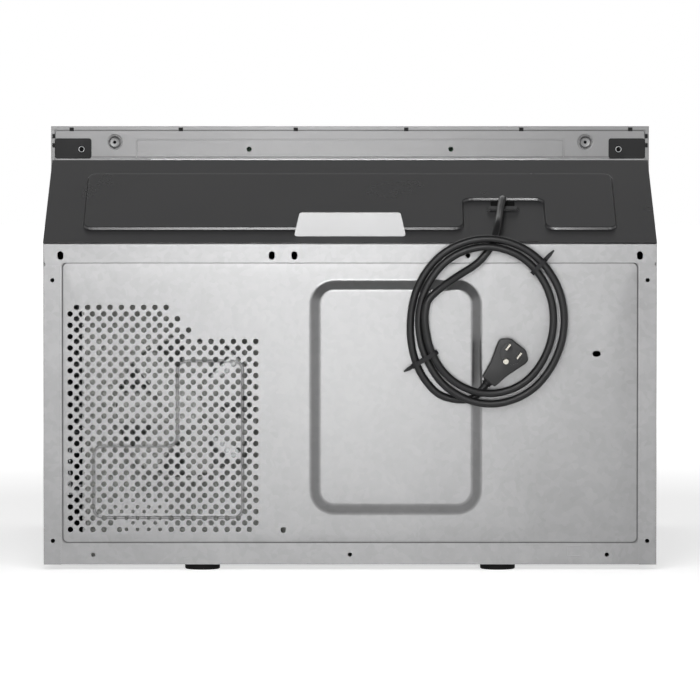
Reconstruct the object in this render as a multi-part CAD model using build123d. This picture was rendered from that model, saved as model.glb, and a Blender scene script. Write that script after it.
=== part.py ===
from build123d import *
import math
import os

os.makedirs("parts", exist_ok=True)

# A built-in microwave drawer of the 24 inch class, in millimetres, +Z up, front towards -Y.
# The origin is on the surface that the feet stand on, midway across the width and the depth.

# Overall sizes
fascia_width = 606.0        # front frame, side to side
body_width = fascia_width - 47.0    # sheet-metal body behind the front frame
body_depth = 555.0          # rear panel to the back of the front frame
front_depth = 35.5          # back of the front frame to the face of the drawer
rear_height = 293.9         # body at its rear edge
slope_rise = 74.5           # sloped rear cover, its rise and its depth
slope_depth = 157.0
fascia_height = rear_height + slope_rise + 36.6
foot_height = 5.0
fascia_drop = 3.5           # the front frame reaches this far below the body
panel_sheet = 0.8           # galvanised sheet
pan_sheet = 1.0
rib_height = 8.0            # large raised rectangle of the rear panel
fit_gap = 0.3               # clearance between pieces that slide or sit side by side

# Rear panel and its surroundings
strip_width = 17.2          # side panel's return at the back
seam_gap = 2.5              # between that return and the raised field of the rear panel
field_corner = 4.0
top_bar_height = 18.8
foot_strip_height = 21.1    # lower strip of the rear panel, set back by one sheet
rib_left, rib_right, rib_low, rib_high = 37.5, -120.8, 45.2, rear_height - 33.1
rib_wall = 11.3
rib_corner = 23.5
bead_width = 3.0
bead_height = 1.2
field_lap = 1.0             # the flat field runs this far under the foot of the rib
vent_pitch_x, vent_pitch_z = 10.2, 10.35
vent_radius, small_vent_radius = 2.55, 1.75
vent_left, vent_top = body_width / 2 - 30.5, rear_height - 59.1
vent_shift_x, vent_shift_z = 5.9, 6.0
vent_rows, vent_columns = 20, 17
pilot_radius = 1.95
pilot_inset = 8.5           # side holes in from the body's edge
pilot_drop, pilot_height = 34.4, 21.7    # side holes from the rear edge and from the body's underside
low_hole_inset, low_hole_height = 45.2, 9.1
tag_inset, tag_width, tag_height = 81.5, 13.0, 8.0      # thin outlined rectangle on the lower strip
bar_hole_drop = 11.9        # holes of the top bar, down from the rear edge
cover_rise = 1.0            # raised middle of the top cover

# Slope details, as depths from the rear edge
field_half, field_rear, field_front, field_height = body_width / 2 - 35.7, 23.5, 126.5, 2.5
notch_right, notch_left, notch_depth = -179.0, -104.0, 80.5
exit_x, exit_depth, exit_width, exit_length = -140.9, 72.5, 22.2, 10.5
lip_depth, lip_height, lip_width, lip_thick = 59.0, 3.4, 25.0, 1.8
cover_right, cover_left, cover_depth = -172.0, -110.0, 62.5
stop_depth, stop_low_width, stop_high_width = 10.7, 102.0, 92.0
stop_low, stop_high = rear_height + 5.4, rear_height + 26.9

# Front frame details
frame_depth = 13.5
trim_return = 3.8
frame_sheet = 0.8
frame_opening_half = body_width / 2 - 13.5
frame_opening_low, frame_opening_high = 36.0, rear_height - 18.9
bracket_outer = fascia_width / 2 - 4.0
bracket_inner, bracket_height = bracket_outer - 37.0, 20.4
bracket_hole_x, bracket_hole_height, bracket_hole_radius = bracket_outer - 27.0, 9.4, 1.8
centre_hole_x, centre_hole_radius = 102.2, 2.55
dimple_x, dimple_radius, dimple_rise = fascia_width / 2 - 64.6, 7.2, 16.8
raised_half, raised_height, raised_top = fascia_width / 2 - 86.0, 1.2, 20.3
clip_shares = (0.9307, 0.566, 0.1815, -0.1881, -0.5729, -0.9373)     # of half the width
side_clip_drops = (10.2, 19.4)

# Oven cavity and drawer
cavity_half = body_width / 2 - 53.5
cavity_floor, cavity_height, cavity_depth = 61.0, rear_height - 92.9, body_depth - 125.0
cavity_sheet = 0.8
flange_setback = 2.0        # cavity's front flange behind the back of the frame
tub_half, tub_height, tub_depth = cavity_half - 4.0, cavity_height - 40.0, cavity_depth - 18.0
tub_wall = 4.0
tub_rise = 3.0              # tub above the cavity floor
plate_thickness = 5.0
travel = 380.0
drawer_height = fascia_height - 103.0
drawer_thickness = 20.0
skin = 1.0
window_half, window_low, window_high = 150.0, 120.0, 215.0
choke_half, choke_low, choke_high = cavity_half + 9.0, 50.0, frame_opening_high - 3.0
reveal = 3.0                # gap between drawer front and control panel

# Slides and drive
rail_length, rail_height, rail_sheet = body_depth - 105.0, 45.0, 1.5
rail_low = 62.0
rail_inner_face = body_width / 2 - 31.5     # inboard face of the slide's inner member
rail_depth = 16.2
arm_sheet = 3.0
rack_module, pinion_teeth = 2.0, 14
rack_width, rack_back = 8.0, 7.0
drive_module, drive_teeth, motor_teeth = 1.5, 28, 14
shaft_radius = 4.0
shaft_height = 33.0
shaft_setback = 30.0        # shaft behind the back of the frame
shaft_clearance = 0.05
gear_width = 8.0
drive_gear_x = 120.0

# Air and microwave parts
fan_x, fan_height, fan_radius, fan_depth = 150.0, 142.0, 62.0, 26.0
stirrer_radius, stirrer_well_half, stirrer_well_height = 78.0, 92.0, 16.0
guide_half, guide_height, guide_sheet = 45.0, 30.0, 1.0
magnetron_width, magnetron_length, magnetron_body = 95.0, 78.0, 98.0

# Cord
cord_diameter = 6.8
coil_x, coil_z = -124.8, rear_height - 66.3
coil_gap = 0.5              # least free space between turns

# Places worked out from the sizes above
side_x = body_width / 2
z_body = foot_height
z_rear_top = z_body + rear_height
z_top = z_rear_top + slope_rise
z_fascia_low = z_body - fascia_drop
z_fascia_high = z_fascia_low + fascia_height
y_rear = (body_depth + front_depth - rib_height) / 2
y_flange = y_rear - body_depth
y_front = y_flange - front_depth
y_drawer_back = y_front + drawer_thickness
y_cavity = y_flange + flange_setback
y_cavity_back = y_cavity + cavity_sheet + cavity_depth
slope_run = math.hypot(slope_rise, slope_depth)
slope_lean = (0.0, slope_rise / slope_run, slope_depth / slope_run)
seam_x = side_x - strip_width
z_cavity_top = cavity_floor + cavity_height
z_tub = cavity_floor + tub_rise
z_plate = z_tub + tub_wall + plate_thickness
z_drawer_low = z_fascia_low + fit_gap
z_drawer_high = z_drawer_low + drawer_height
rail_outer_face = rail_inner_face + rail_depth
y_rail = y_flange + 3.0
pinion_radius = rack_module * pinion_teeth / 2
drive_radius = drive_module * drive_teeth / 2
motor_radius = drive_module * motor_teeth / 2
y_shaft = y_flange + shaft_setback
z_rack = shaft_height + pinion_radius
x_rack = rail_inner_face - arm_sheet / 2
y_well = y_cavity + cavity_sheet + cavity_depth / 2
z_well = z_cavity_top + stirrer_well_height
z_guide_low = z_well + cavity_sheet
z_guide_high = z_guide_low + guide_height
y_guide_back = y_cavity_back + 94.0
y_magnetron = y_guide_back - 2.0 - magnetron_length / 2


# Shapes that several pieces use

def block(x0, x1, y0, y1, z0, z1):
    middle = Pos((x0 + x1) / 2, (y0 + y1) / 2, (z0 + z1) / 2)
    return middle * Box(abs(x1 - x0), abs(y1 - y0), abs(z1 - z0))


def rod(start, end, radius):
    line = Vector(*end) - Vector(*start)
    place = Plane(origin=start, z_dir=line)
    return place * Cylinder(radius, line.length, align=(Align.CENTER, Align.CENTER, Align.MIN))


def tube(start, end, radius, bore):
    return rod(start, end, radius) - rod(start, end, bore)


def back_plane(y):
    # local x is X, local y is Z, and an extrusion goes towards the front
    return Plane(origin=(0, y, 0), x_dir=(1, 0, 0), z_dir=(0, -1, 0))


def slope_plane(height=0.0):
    # local x is X, local -y goes up the slope from the rear edge, local z is outward
    nx, ny, nz = slope_lean
    origin = (0, y_rear + ny * height, z_rear_top + nz * height)
    return Plane(origin=origin, x_dir=(1, 0, 0), z_dir=slope_lean)


def up_slope(depth):
    return -depth * slope_run / slope_depth


def slope_point(x, depth, height=0.0):
    place = slope_plane(height).from_local_coords((x, up_slope(depth), 0))
    return (place.X, place.Y, place.Z)


def hole_wire(plane, x, z, radius):
    spot = plane.from_local_coords((x, z, 0))
    return Wire([Edge.make_circle(radius, plane=Plane(origin=spot, x_dir=plane.x_dir, z_dir=plane.z_dir))])


def slot_wire(plane, x, z, length, height):
    return (plane * Pos(x, z) * SlotOverall(length, height)).face().outer_wire()


def tall_slot_wire(plane, x, z, width, length):
    return (plane * Pos(x, z) * Rot(0, 0, 90) * SlotOverall(length, width)).face().outer_wire()


def prism(plane, outline, depth):
    # an outline pushed along the plane's own normal, whichever way round its points run
    return extrude(plane * outline, amount=abs(depth), dir=plane.z_dir * math.copysign(1.0, depth))


def sheet_with_holes(plane, outline, holes, thickness):
    face = Face((plane * outline).face().outer_wire(), holes)
    return Solid.extrude(face, plane.z_dir * thickness)


def rectangle(x0, x1, z0, z1, corner=0.0):
    width, height = abs(x1 - x0), abs(z1 - z0)
    shape = RectangleRounded(width, height, corner) if corner else Rectangle(width, height)
    return Pos((x0 + x1) / 2, (z0 + z1) / 2) * shape


def plateau(plane, x0, x1, z0, z1, corner, wall, height):
    # a raised field: a rounded rectangle drawn in by its wall as it rises
    low = plane * rectangle(x0, x1, z0, z1, corner)
    top_plane = plane.offset(-height)
    span = (min(x0, x1) + wall, max(x0, x1) - wall, z0 + wall, z1 - wall)
    high = top_plane * rectangle(*span, corner - wall * 0.9)
    return loft([low.face(), high.face()], ruled=True)


def gear(teeth, module, width, bore, centre, first_angle):
    # straight-flanked teeth about an axis along X, the first one at first_angle from +Y towards +Z
    pitch_radius = teeth * module / 2
    tip, root = pitch_radius + 0.85 * module, pitch_radius - 1.15 * module
    step = 2 * math.pi / teeth
    points = []
    for number in range(teeth):
        angle = math.radians(first_angle) + number * step
        for radius, share in ((root, -0.30), (tip, -0.13), (tip, 0.13), (root, 0.30)):
            turn = angle + share * step
            points.append((radius * math.cos(turn), radius * math.sin(turn)))
    plane = Plane(origin=centre, x_dir=(0, 1, 0), z_dir=(1, 0, 0))
    blank = extrude(plane * Polygon(*points, align=None), amount=width / 2, both=True)
    hub = plane.offset(-width) * Cylinder(bore, 2 * width, align=(Align.CENTER, Align.CENTER, Align.MIN))
    return blank - hub


def both_sides(solid):
    return [solid, mirror(solid, about=Plane.YZ)]


nodes = {}


def keep(name, *solids):
    pieces = []
    for solid in solids:
        pieces += [piece for piece in solid.solids()]
    nodes[name] = Compound(children=pieces) if len(pieces) > 1 else pieces[0]
    nodes[name].label = name


# Sheet-metal body

def make_base_pan():
    rim = 12.0
    z0 = z_body
    outer = block(-side_x + panel_sheet, side_x - panel_sheet, y_flange + 1, y_rear - 3 * panel_sheet,
                  z0, z0 + rim)
    inner = block(-side_x + panel_sheet + pan_sheet, side_x - panel_sheet - pan_sheet,
                  y_flange + 1 + pan_sheet, y_rear - 3 * panel_sheet - pan_sheet,
                  z0 + pan_sheet, z0 + rim + 1)
    pan = outer - inner
    for x in (-180, -60, 60, 180):
        pan += block(x - 9, x + 9, y_flange + 120, y_rear - 120, z0, z0 + 4)
    slots = []
    for x in (-200, -140, 200):
        slots.append(block(x - 20, x + 20, y_flange + 60, y_flange + 64, z0 - 1, z0 + 3))
    pilots = [rod((x, y_rear - 10, z), (x, y_rear, z), pilot_radius) for x, z in low_hole_spots()]
    keep("base_pan", pan - slots - pilots)


def foot_spots():
    return [(x, y) for y in (y_rear - 18.5, y_flange + 45) for x in (-135, 135)]


def make_feet():
    feet = []
    for x, y in foot_spots():
        foot = rod((x, y, 0), (x, y, z_body), 16.0)
        foot = fillet(foot.edges().group_by(Axis.Z)[0], 1.5)
        feet.append(foot)
    keep("rubber_feet", *feet)


def vent_spots():
    # two interleaved grids, the second set half a step over and down; the upper rows are shorter
    spots = []
    for row in range(vent_rows):
        count = min(9 + row, 11) if row < 3 else vent_columns
        for column in range(count):
            for shift in (0, 1):
                x = vent_left - column * vent_pitch_x + shift * vent_shift_x
                z = z_body + vent_top - row * vent_pitch_z - shift * vent_shift_z
                fine = row >= 17 and 4 <= column <= 8
                if row == vent_rows - 1 and column == 4:
                    continue
                spots.append((x, z, small_vent_radius if fine else vent_radius))
    spots.append((vent_left - 3.8 * vent_pitch_x, z_body + vent_top - 19.6 * vent_pitch_z, vent_radius))
    return spots


def low_hole_spots():
    return [(x, z_body + low_hole_height) for x in (low_hole_inset - side_x, 0, side_x - low_hole_inset)]


def side_hole_spots(side):
    x = side * (side_x - pilot_inset)
    return [(x, z_rear_top - pilot_drop), (x, z_body + pilot_height)]


def bead_lines():
    # the raised L, as the middle line of its bead, counted from the body's underside
    right, inner, left = 97.8, 157.2, vent_left - 15.5
    low, middle, high = 43.4, 108.5, 185.9
    return [(left, low), (right, low), (right, high), (inner, high), (inner, middle), (left, middle)]


def make_rear_panel():
    plane = back_plane(y_rear)
    z0, z1 = z_body + foot_strip_height, z_rear_top - top_bar_height
    half = seam_x - seam_gap / 2
    holes = [hole_wire(plane, x, z, r) for x, z, r in vent_spots()]
    holes.append(hole_wire(plane, 60.7, z_body + 31.7, 2.7))
    holes.append(slot_wire(plane, 54.9 - side_x, z_body + 192.5, 7.5, 5.3))
    span = (rib_left, rib_right, z_body + rib_low, z_body + rib_high)
    inset = (span[0] - field_lap, span[1] + field_lap, span[2] + field_lap, span[3] - field_lap)
    holes.append((plane * rectangle(*inset, rib_corner - field_lap)).face().outer_wire())
    field = sheet_with_holes(plane, rectangle(-half, half, z0, z1, field_corner), holes, panel_sheet)
    rib = plateau(plane, *span, rib_corner, rib_wall, rib_height)
    hollow = plateau(plane.offset(panel_sheet), *span, rib_corner, rib_wall, rib_height)
    bead = bead_ring(plane)
    strip_plane = back_plane(y_rear - panel_sheet)
    spots = low_hole_spots() + side_hole_spots(-1) + side_hole_spots(1)
    strip_holes = [hole_wire(strip_plane, x, z, pilot_radius) for x, z in spots]
    lap = 3.0
    window = rectangle(-half + lap, half - lap, z0 + lap, z1 - lap, field_corner)
    strip_holes.append((strip_plane * window).face().outer_wire())
    edge = side_x - 2 * panel_sheet
    strip = sheet_with_holes(strip_plane, rectangle(-edge, edge, z_body + 0.5, z1), strip_holes, panel_sheet)
    x1 = tag_inset - side_x
    x0 = x1 - tag_width
    line = 0.9
    outline = rectangle(x0, x1, z_body + tag_height, z_body + tag_height + 9)
    outline -= rectangle(x0 + line, x1 - line, z_body + tag_height + line, z_body + tag_height + 9 - line)
    tag = extrude(strip_plane.offset(-0.3) * outline, amount=0.5)
    keep("rear_panel", field + (rib - hollow) + bead + strip + tag)


def bead_ring(plane):
    centre = Polyline(*bead_lines(), close=True)
    outline = make_face(centre)
    corners = outline.vertices()
    outline = fillet(corners, 9.0)
    band = offset(outline, bead_width / 2) - offset(outline, -bead_width / 2)
    bead = extrude(plane * Pos(0, z_body) * band, amount=-bead_height)
    cutters = []
    for x, z, radius in vent_spots():
        cutters.append(rod((x, y_rear - 1, z), (x, y_rear + bead_height + 1, z), radius))
    return bead - cutters


def make_top_bar():
    plane = back_plane(y_rear)
    z0, z1 = z_rear_top - top_bar_height + fit_gap, z_rear_top - 2 * panel_sheet
    hole_z = z_rear_top - bar_hole_drop
    holes = [tall_slot_wire(plane, x, hole_z, 5.5, 7.7) for x in (side_x - 15.9, 71.2, 50.6, 15.6 - side_x)]
    holes.append(hole_wire(plane, -107.3, hole_z, 2.25))
    inset = side_x - panel_sheet - 0.2
    bar = sheet_with_holes(plane, rectangle(-inset, inset, z0, z1), holes, panel_sheet)
    bar += block(-inset, inset, y_rear - 2 * panel_sheet, y_rear - panel_sheet, z0 + 0.2, z0 + 2.4)
    shelf = block(-inset, inset, y_rear - 22, y_rear - panel_sheet, z1 - panel_sheet, z1)
    cut = slope_wedge()
    keep("rear_top_bar", bar + (shelf - cut))


def slope_wedge():
    # everything above the underside of the sloped cover
    plane = slope_plane(-panel_sheet)
    return extrude(plane * Pos(0, -slope_run / 2) * Rectangle(700, slope_run + 200), amount=200)


def make_side_panel(side, name):
    x = side * side_x
    inner = x - side * panel_sheet
    drop = panel_sheet * slope_run / slope_depth + 0.02
    profile = [(y_flange, z_body), (y_rear, z_body), (y_rear, z_rear_top - panel_sheet),
               (y_rear - panel_sheet - fit_gap, z_rear_top - panel_sheet),
               (y_rear - slope_depth, z_top - drop), (y_rear - slope_depth - 1.0, z_top - panel_sheet),
               (y_flange, z_top - panel_sheet)]
    plane = Plane(origin=(min(x, inner), 0, 0), x_dir=(0, 1, 0), z_dir=(1, 0, 0))
    wall = extrude(plane * Polygon(*profile, align=None), amount=panel_sheet)
    strip_plane = back_plane(y_rear)
    seam = side * (seam_x + seam_gap / 2)
    holes = [hole_wire(strip_plane, x, z, pilot_radius) for x, z in side_hole_spots(side)]
    strip = sheet_with_holes(strip_plane, rectangle(seam, x, z_body, z_rear_top - top_bar_height - 2.4),
                             holes, panel_sheet)
    lip = block(x, side * frame_opening_half, y_flange, y_flange + panel_sheet, z_body, z_top - panel_sheet)
    keep(name, wall + strip + lip)


def make_slope_cover():
    under = slope_plane(-panel_sheet)
    sheet = under * Pos(0, -slope_run / 2) * Rectangle(body_width, slope_run)
    cover = extrude(sheet, amount=panel_sheet)
    skirt = block(-side_x, side_x, y_rear - panel_sheet, y_rear, z_rear_top - panel_sheet, z_rear_top)
    cover = cover + skirt
    field = slope_field()
    cover += extrude(slope_plane(0) * field, amount=field_height)
    inner = offset(field, -2.0, kind=Kind.INTERSECTION)
    cover -= extrude(slope_plane(-panel_sheet) * inner, amount=field_height)
    hole = Pos(exit_x, up_slope(exit_depth)) * RectangleRounded(exit_width, exit_length, 1.0)
    cover -= extrude(slope_plane(-5) * hole, amount=20)
    keep("rear_slope_cover", cover)


def slope_field():
    # raised field of the slope, with a notch round the cord exit
    front, rear = up_slope(field_front), up_slope(field_rear)
    whole = Pos(0, (front + rear) / 2) * RectangleRounded(2 * field_half, rear - front, 8.0)
    deep = up_slope(notch_depth)
    notch = Pos((notch_left + notch_right) / 2, (deep + rear) / 2 + 10)
    notch = notch * RectangleRounded(notch_left - notch_right, rear - deep + 20, 6.0)
    return whole - notch


def make_top_cover():
    y1 = y_rear - slope_depth - 0.6
    sheet = block(-side_x, side_x, y_flange + 0.2, y1, z_top - panel_sheet, z_top)
    half = side_x - 92.5
    sheet += block(-half, half, y_flange + 0.2, y1 - 12, z_top, z_top + cover_rise)
    sheet -= block(1 - half, half - 1, y_flange + 1.2, y1 - 13, z_top - 2, z_top + 0.2)
    keep("top_cover", sheet)


def make_stop_plate():
    # upright plate that meets the anti-tip block of the cabinet, folded back until it meets the slope
    y = y_rear - stop_depth
    low, high = z_body + stop_low, z_body + stop_high
    shape = [(-stop_low_width / 2, low), (stop_low_width / 2, low),
             (stop_high_width / 2, high), (-stop_high_width / 2, high)]
    plane = back_plane(y)
    outline = fillet(Polygon(*shape, align=None).vertices(), 2.0)
    plate = extrude(plane * outline, amount=1.5)
    field_rise = field_height * slope_run / slope_depth
    reach = (high - z_rear_top - field_rise) / slope_rise * slope_depth
    half = stop_high_width / 2 - 2.0
    shelf = block(-half, half, y_rear - reach - 4, y - 0.5, high - 1.5, high)
    under_field = prism(slope_plane(field_height), Pos(0, up_slope(reach)) * Rectangle(300, 120), -60)
    under_slope = prism(slope_plane(0), Rectangle(300, 120), -60)
    keep("anti_tip_plate", (plate - under_slope) + (shelf - under_field))


def make_cord_cover():
    middle = (cover_left + cover_right) / 2
    width = cover_left - cover_right
    run = -up_slope(cover_depth)
    sheet = Pos(middle, -run / 2 - 0.5) * RectangleRounded(width, run - 1.0, 2.0)
    cover = extrude(slope_plane(0) * sheet, amount=0.6)
    lip_y = up_slope(lip_depth)
    half = lip_width / 2
    inner, low = half - lip_thick / 2, lip_height - lip_thick
    legs = [(-half - 3.5, 0.0), (-half, lip_height), (half, lip_height), (half + 3.5, 0.0),
            (half + 1.7, 0.0), (inner, low), (-inner, low), (-half - 1.7, 0.0)]
    place = slope_plane(0)
    arch_plane = Plane(origin=place.from_local_coords((exit_x, lip_y - 3.0, 0)),
                       x_dir=(1, 0, 0), z_dir=-place.y_dir)
    arch = prism(arch_plane, Polygon(*legs, align=None), -6.0)
    keep("cord_cover", cover + arch)


# Cord: its exit, route, coil and plug

exit_sink = 7.0             # the cord starts this far under the slope's face
exit_point = slope_point(exit_x, exit_depth, -exit_sink)


def make_strain_relief():
    # a snap-in bush: a neck inside the hole, and a collar that bears on the sheet from below
    spot = Pos(exit_x, up_slope(exit_depth))
    under_sheet = slope_plane(-panel_sheet)
    neck = prism(under_sheet, spot * RectangleRounded(exit_width - 0.6, exit_length - 0.6, 0.9), 0.4)
    rim = RectangleRounded(exit_width + 6, exit_length + 5, 2.5)
    collar = prism(under_sheet, spot * rim, panel_sheet - exit_sink)
    gland = prism(slope_plane(-exit_sink), spot * Circle(6.5), -12.0)
    passage = prism(slope_plane(-exit_sink), spot * Circle(cord_diameter / 2 + 0.6), 12.0)
    keep("cord_strain_relief", neck + collar + gland - passage)


y_coil = y_rear + rib_height + 1.5 * cord_diameter + 2 * coil_gap
turn_step = cord_diameter + coil_gap

# The route from the exit to the coil, chosen by hand
coil_start = (coil_x + 56.0, y_coil + 5.6, coil_z)
exit_route = [
    exit_point,
    slope_point(exit_x, exit_depth, 2.8),
    slope_point(-140.5, 66.8, 8.9),
    slope_point(-138.8, 51.0, 10.0),
    slope_point(-136.6, 30.0, 11.0),
    slope_point(-134.8, 10.3, 14.1),
    (-133.0, y_rear + 6.7, coil_z + 80.4),
    (-129.5, y_rear + 11.4, coil_z + 69.9),
    (-122.0, y_rear + 11.9, coil_z + 58.9),
    (-114.0, y_rear + 12.8, coil_z + 50.9),
    (-98.5, y_coil - 2.5, coil_z + 41.8),
    (-83.0, y_coil + 2.5, coil_z + 31.2),
    (coil_x + 52.8, y_coil + 5.4, coil_z + 21.5),
    (coil_start[0], coil_start[1], coil_z + 15.0),
    (coil_start[0], coil_start[1], coil_z + cord_diameter),
]


def tube_along(points, diameter, label):
    vectors = [Vector(*point) for point in points]
    radii = []
    for before, here, after in zip(vectors, vectors[1:], vectors[2:]):
        turn = math.radians((here - before).get_angle(after - here))
        shorter = min((here - before).length, (after - here).length)
        radii.append(0.45 * shorter / math.tan(turn / 2))
    print(label, "bend radii", [round(radius, 1) for radius in radii])
    path = FilletPolyline(*points, radius=radii)
    section = Plane(origin=points[0], z_dir=vectors[1] - vectors[0]) * Circle(diameter / 2)
    solid = sweep(section, path=path)
    print(label, "length", round(path.length, 1), "volume over section times length",
          round(solid.volume / (math.pi * diameter ** 2 / 4 * path.length), 4))
    return solid


def coil_turning_points():
    # extreme points of an outward spiral: left, bottom, right, top and again, with the way of travel
    lefts = [56.0, 61.9, 69.2]
    lows = [66.0, 66.0 + 1.3 * turn_step]
    rights = [59.3, 59.3 + 1.35 * turn_step]
    highs = [68.0, 68.0 + turn_step]
    spots = []
    backs = [coil_start[1] - y_coil, 0.0]
    for turn in range(2):
        spots += [((lefts[turn], backs[turn], 0), (0, 0, -1)), ((-2.9, 0, -lows[turn]), (-1, 0, 0)),
                  ((-rights[turn], 0, 2.8), (0, 0, 1)), ((0.7, 0, highs[turn]), (1, 0, 0))]
    spots += [((lefts[2], -0.6 * turn_step, 0), (0, 0, -1)), ((29.0, -turn_step, -71.0), (-1, 0, 0))]
    return [((coil_x + x, y_coil + y, coil_z + z), way) for (x, y, z), way in spots]


def arc_pair(start, way_in, end, way_out):
    # two arcs that share a tangent where they meet, for one quarter turn
    start, end = Vector(*start), Vector(*end)
    way_in, way_out = Vector(*way_in), Vector(*way_out)
    chord = end - start
    both = way_in + way_out
    b = 2 * chord.dot(both)
    a = 2 * (1 - way_in.dot(way_out))
    reach = (-b + math.sqrt(b * b + 4 * a * chord.dot(chord))) / (2 * a)
    middle = (start + way_in * reach + end - way_out * reach) / 2
    first = Edge.make_tangent_arc(start, way_in, middle)
    second = Edge.make_tangent_arc(middle, first % 1, end)
    return [first, second]


def coil_path():
    spots = coil_turning_points()
    edges = [Edge.make_line((spots[0][0][0], spots[0][0][1], spots[0][0][2] + cord_diameter), spots[0][0])]
    for (start, way_in), (end, way_out) in zip(spots, spots[1:]):
        edges += arc_pair(start, way_in, end, way_out)
    last = spots[-1][0]
    edges.append(Edge.make_line(last, (last[0] - cord_diameter, last[1], last[2])))
    return Wire(edges)


def least_gap(path, diameter):
    # least free space between stretches that lie more than three diameters apart along the path
    count = 600
    points = [path @ (number / count) for number in range(count + 1)]
    step = path.length / count
    skip = int(3 * diameter / step) + 1
    least = 1e9
    for number, point in enumerate(points):
        for other in points[number + skip:]:
            least = min(least, (point - other).length)
    return least - diameter


def make_cord():
    keep("power_cord", tube_along(exit_route, cord_diameter, "power cord"))
    path = coil_path()
    section = Plane(origin=path @ 0, z_dir=path % 0) * Circle(cord_diameter / 2)
    coil = sweep(section, path=path)
    print("coil length", round(path.length, 1), "least gap", round(least_gap(path, cord_diameter), 2))
    keep("cord_coil", coil)
    end = path @ 1
    lead = [(end.X, end.Y, end.Z), (coil_x + 12.6, end.Y, end.Z), (coil_x + 6.2, end.Y, coil_z - 63.8),
            (coil_x + 1.0, end.Y + 0.8, coil_z - 57.2)]
    keep("plug_lead", tube_along(lead, cord_diameter, "plug lead"))
    return lead


def make_plug(lead):
    start = Vector(*lead[-1])
    way = (start - Vector(*lead[-2])).normalized()
    flat = Vector(way.X, 0, way.Z).normalized()
    face_x = flat.cross(Vector(0, 1, 0))
    place = Plane(origin=start, x_dir=face_x, z_dir=(0, 1, 0))
    relief_plane = Plane(origin=start, z_dir=way)
    relief = loft([(relief_plane * Circle(4.6)).face(), (relief_plane.offset(10) * Circle(6.0)).face()])
    half = [(7.2, 3), (9.8, 18), (16.0, 37.5), (16.0, 40.5), (9.0, 46.5)]
    outline = half + [(-x, z) for x, z in reversed(half)]
    body = extrude(place.offset(-7.0) * fillet(Polygon(*outline, align=None).vertices(), 1.5), amount=17.0)
    body = fillet(body.edges().group_by(Axis.Y)[-1], 1.5)
    keep("power_plug", body + relief)
    front = place.offset(10.0)
    blade = [extrude(front * Pos(x, 39) * Rectangle(1.6, 6.4), amount=17) for x in (-6.35, 6.35)]
    pin = extrude(front * Pos(0, 27.5) * Circle(2.4), amount=20)
    keep("plug_blades", *blade, pin)


def strands_at(path, angle):
    # where the coil crosses a half plane through its middle: distance outward and place in depth
    ray = Vector(math.cos(angle), 0, math.sin(angle))
    side = ray.cross(Vector(0, 1, 0))
    count = 2400
    found = []
    before = None
    for number in range(count + 1):
        offset_now = path @ (number / count) - Vector(coil_x, y_coil, coil_z)
        out, across = offset_now.dot(ray), offset_now.dot(side)
        if before and out > 0 and before[1] * across < 0:
            found.append((out, offset_now.Y))
        before = (out, across)
    return sorted(found)


def tie_around(path, angle, tail):
    # a flat strap round all the strands at one place of the coil, with a tapered tail outside
    thick, width, room = 1.1, 4.0, 0.6
    strands = strands_at(path, angle)
    outs, depths = [out for out, _ in strands], [depth for _, depth in strands]
    outward = Vector(math.cos(angle), 0, math.sin(angle))
    along = outward.cross(Vector(0, 1, 0))
    long = max(outs) - min(outs) + cord_diameter + 2 * room
    deep = max(depths) - min(depths) + cord_diameter + 2 * room
    middle = outward * ((max(outs) + min(outs)) / 2) + Vector(0, (max(depths) + min(depths)) / 2, 0)
    centre = Vector(coil_x, y_coil, coil_z) + middle
    plane = Plane(origin=centre, x_dir=outward, z_dir=along)
    corner = cord_diameter / 2 - 0.1
    inner = RectangleRounded(long, deep, corner)
    outer = RectangleRounded(long + 2 * thick, deep + 2 * thick, corner + thick)
    strap = extrude(plane * (outer - inner), amount=width / 2, both=True)
    root = centre + outward * (long / 2 + thick / 2) + Vector(0, -0.6, 0)
    tail_plane = Plane(origin=root, x_dir=along, z_dir=(0, 1, 0))
    way = 1 if tail_plane.y_dir.dot(outward) > 0 else -1
    half, tip = way * tail / 2, way * tail
    taper = [(-1.9, 0), (1.9, 0), (1.7, half), (0.7, tip), (-0.7, tip), (-1.7, half)]
    return strap + prism(tail_plane, Polygon(*taper, align=None), 1.2)


def make_ties():
    path = coil_path()
    keep("twist_ties", tie_around(path, math.radians(133), 11.0), tie_around(path, math.radians(-31), 9.0))


# Front frame

def make_fascia_trim():
    half = fascia_width / 2
    y0 = y_flange - frame_depth
    ring = block(-half, half, y0, y_flange, z_fascia_low, z_fascia_high)
    ring -= block(-half + frame_sheet, half - frame_sheet, y0 - 1, y_flange - frame_sheet,
                  z_fascia_low + frame_sheet, z_fascia_high - frame_sheet)
    ring -= block(-half + trim_return, half - trim_return, y0 - 1, y_flange + 1,
                  z_fascia_low + trim_return, z_fascia_high - trim_return)
    keep("fascia_trim", ring)


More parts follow.
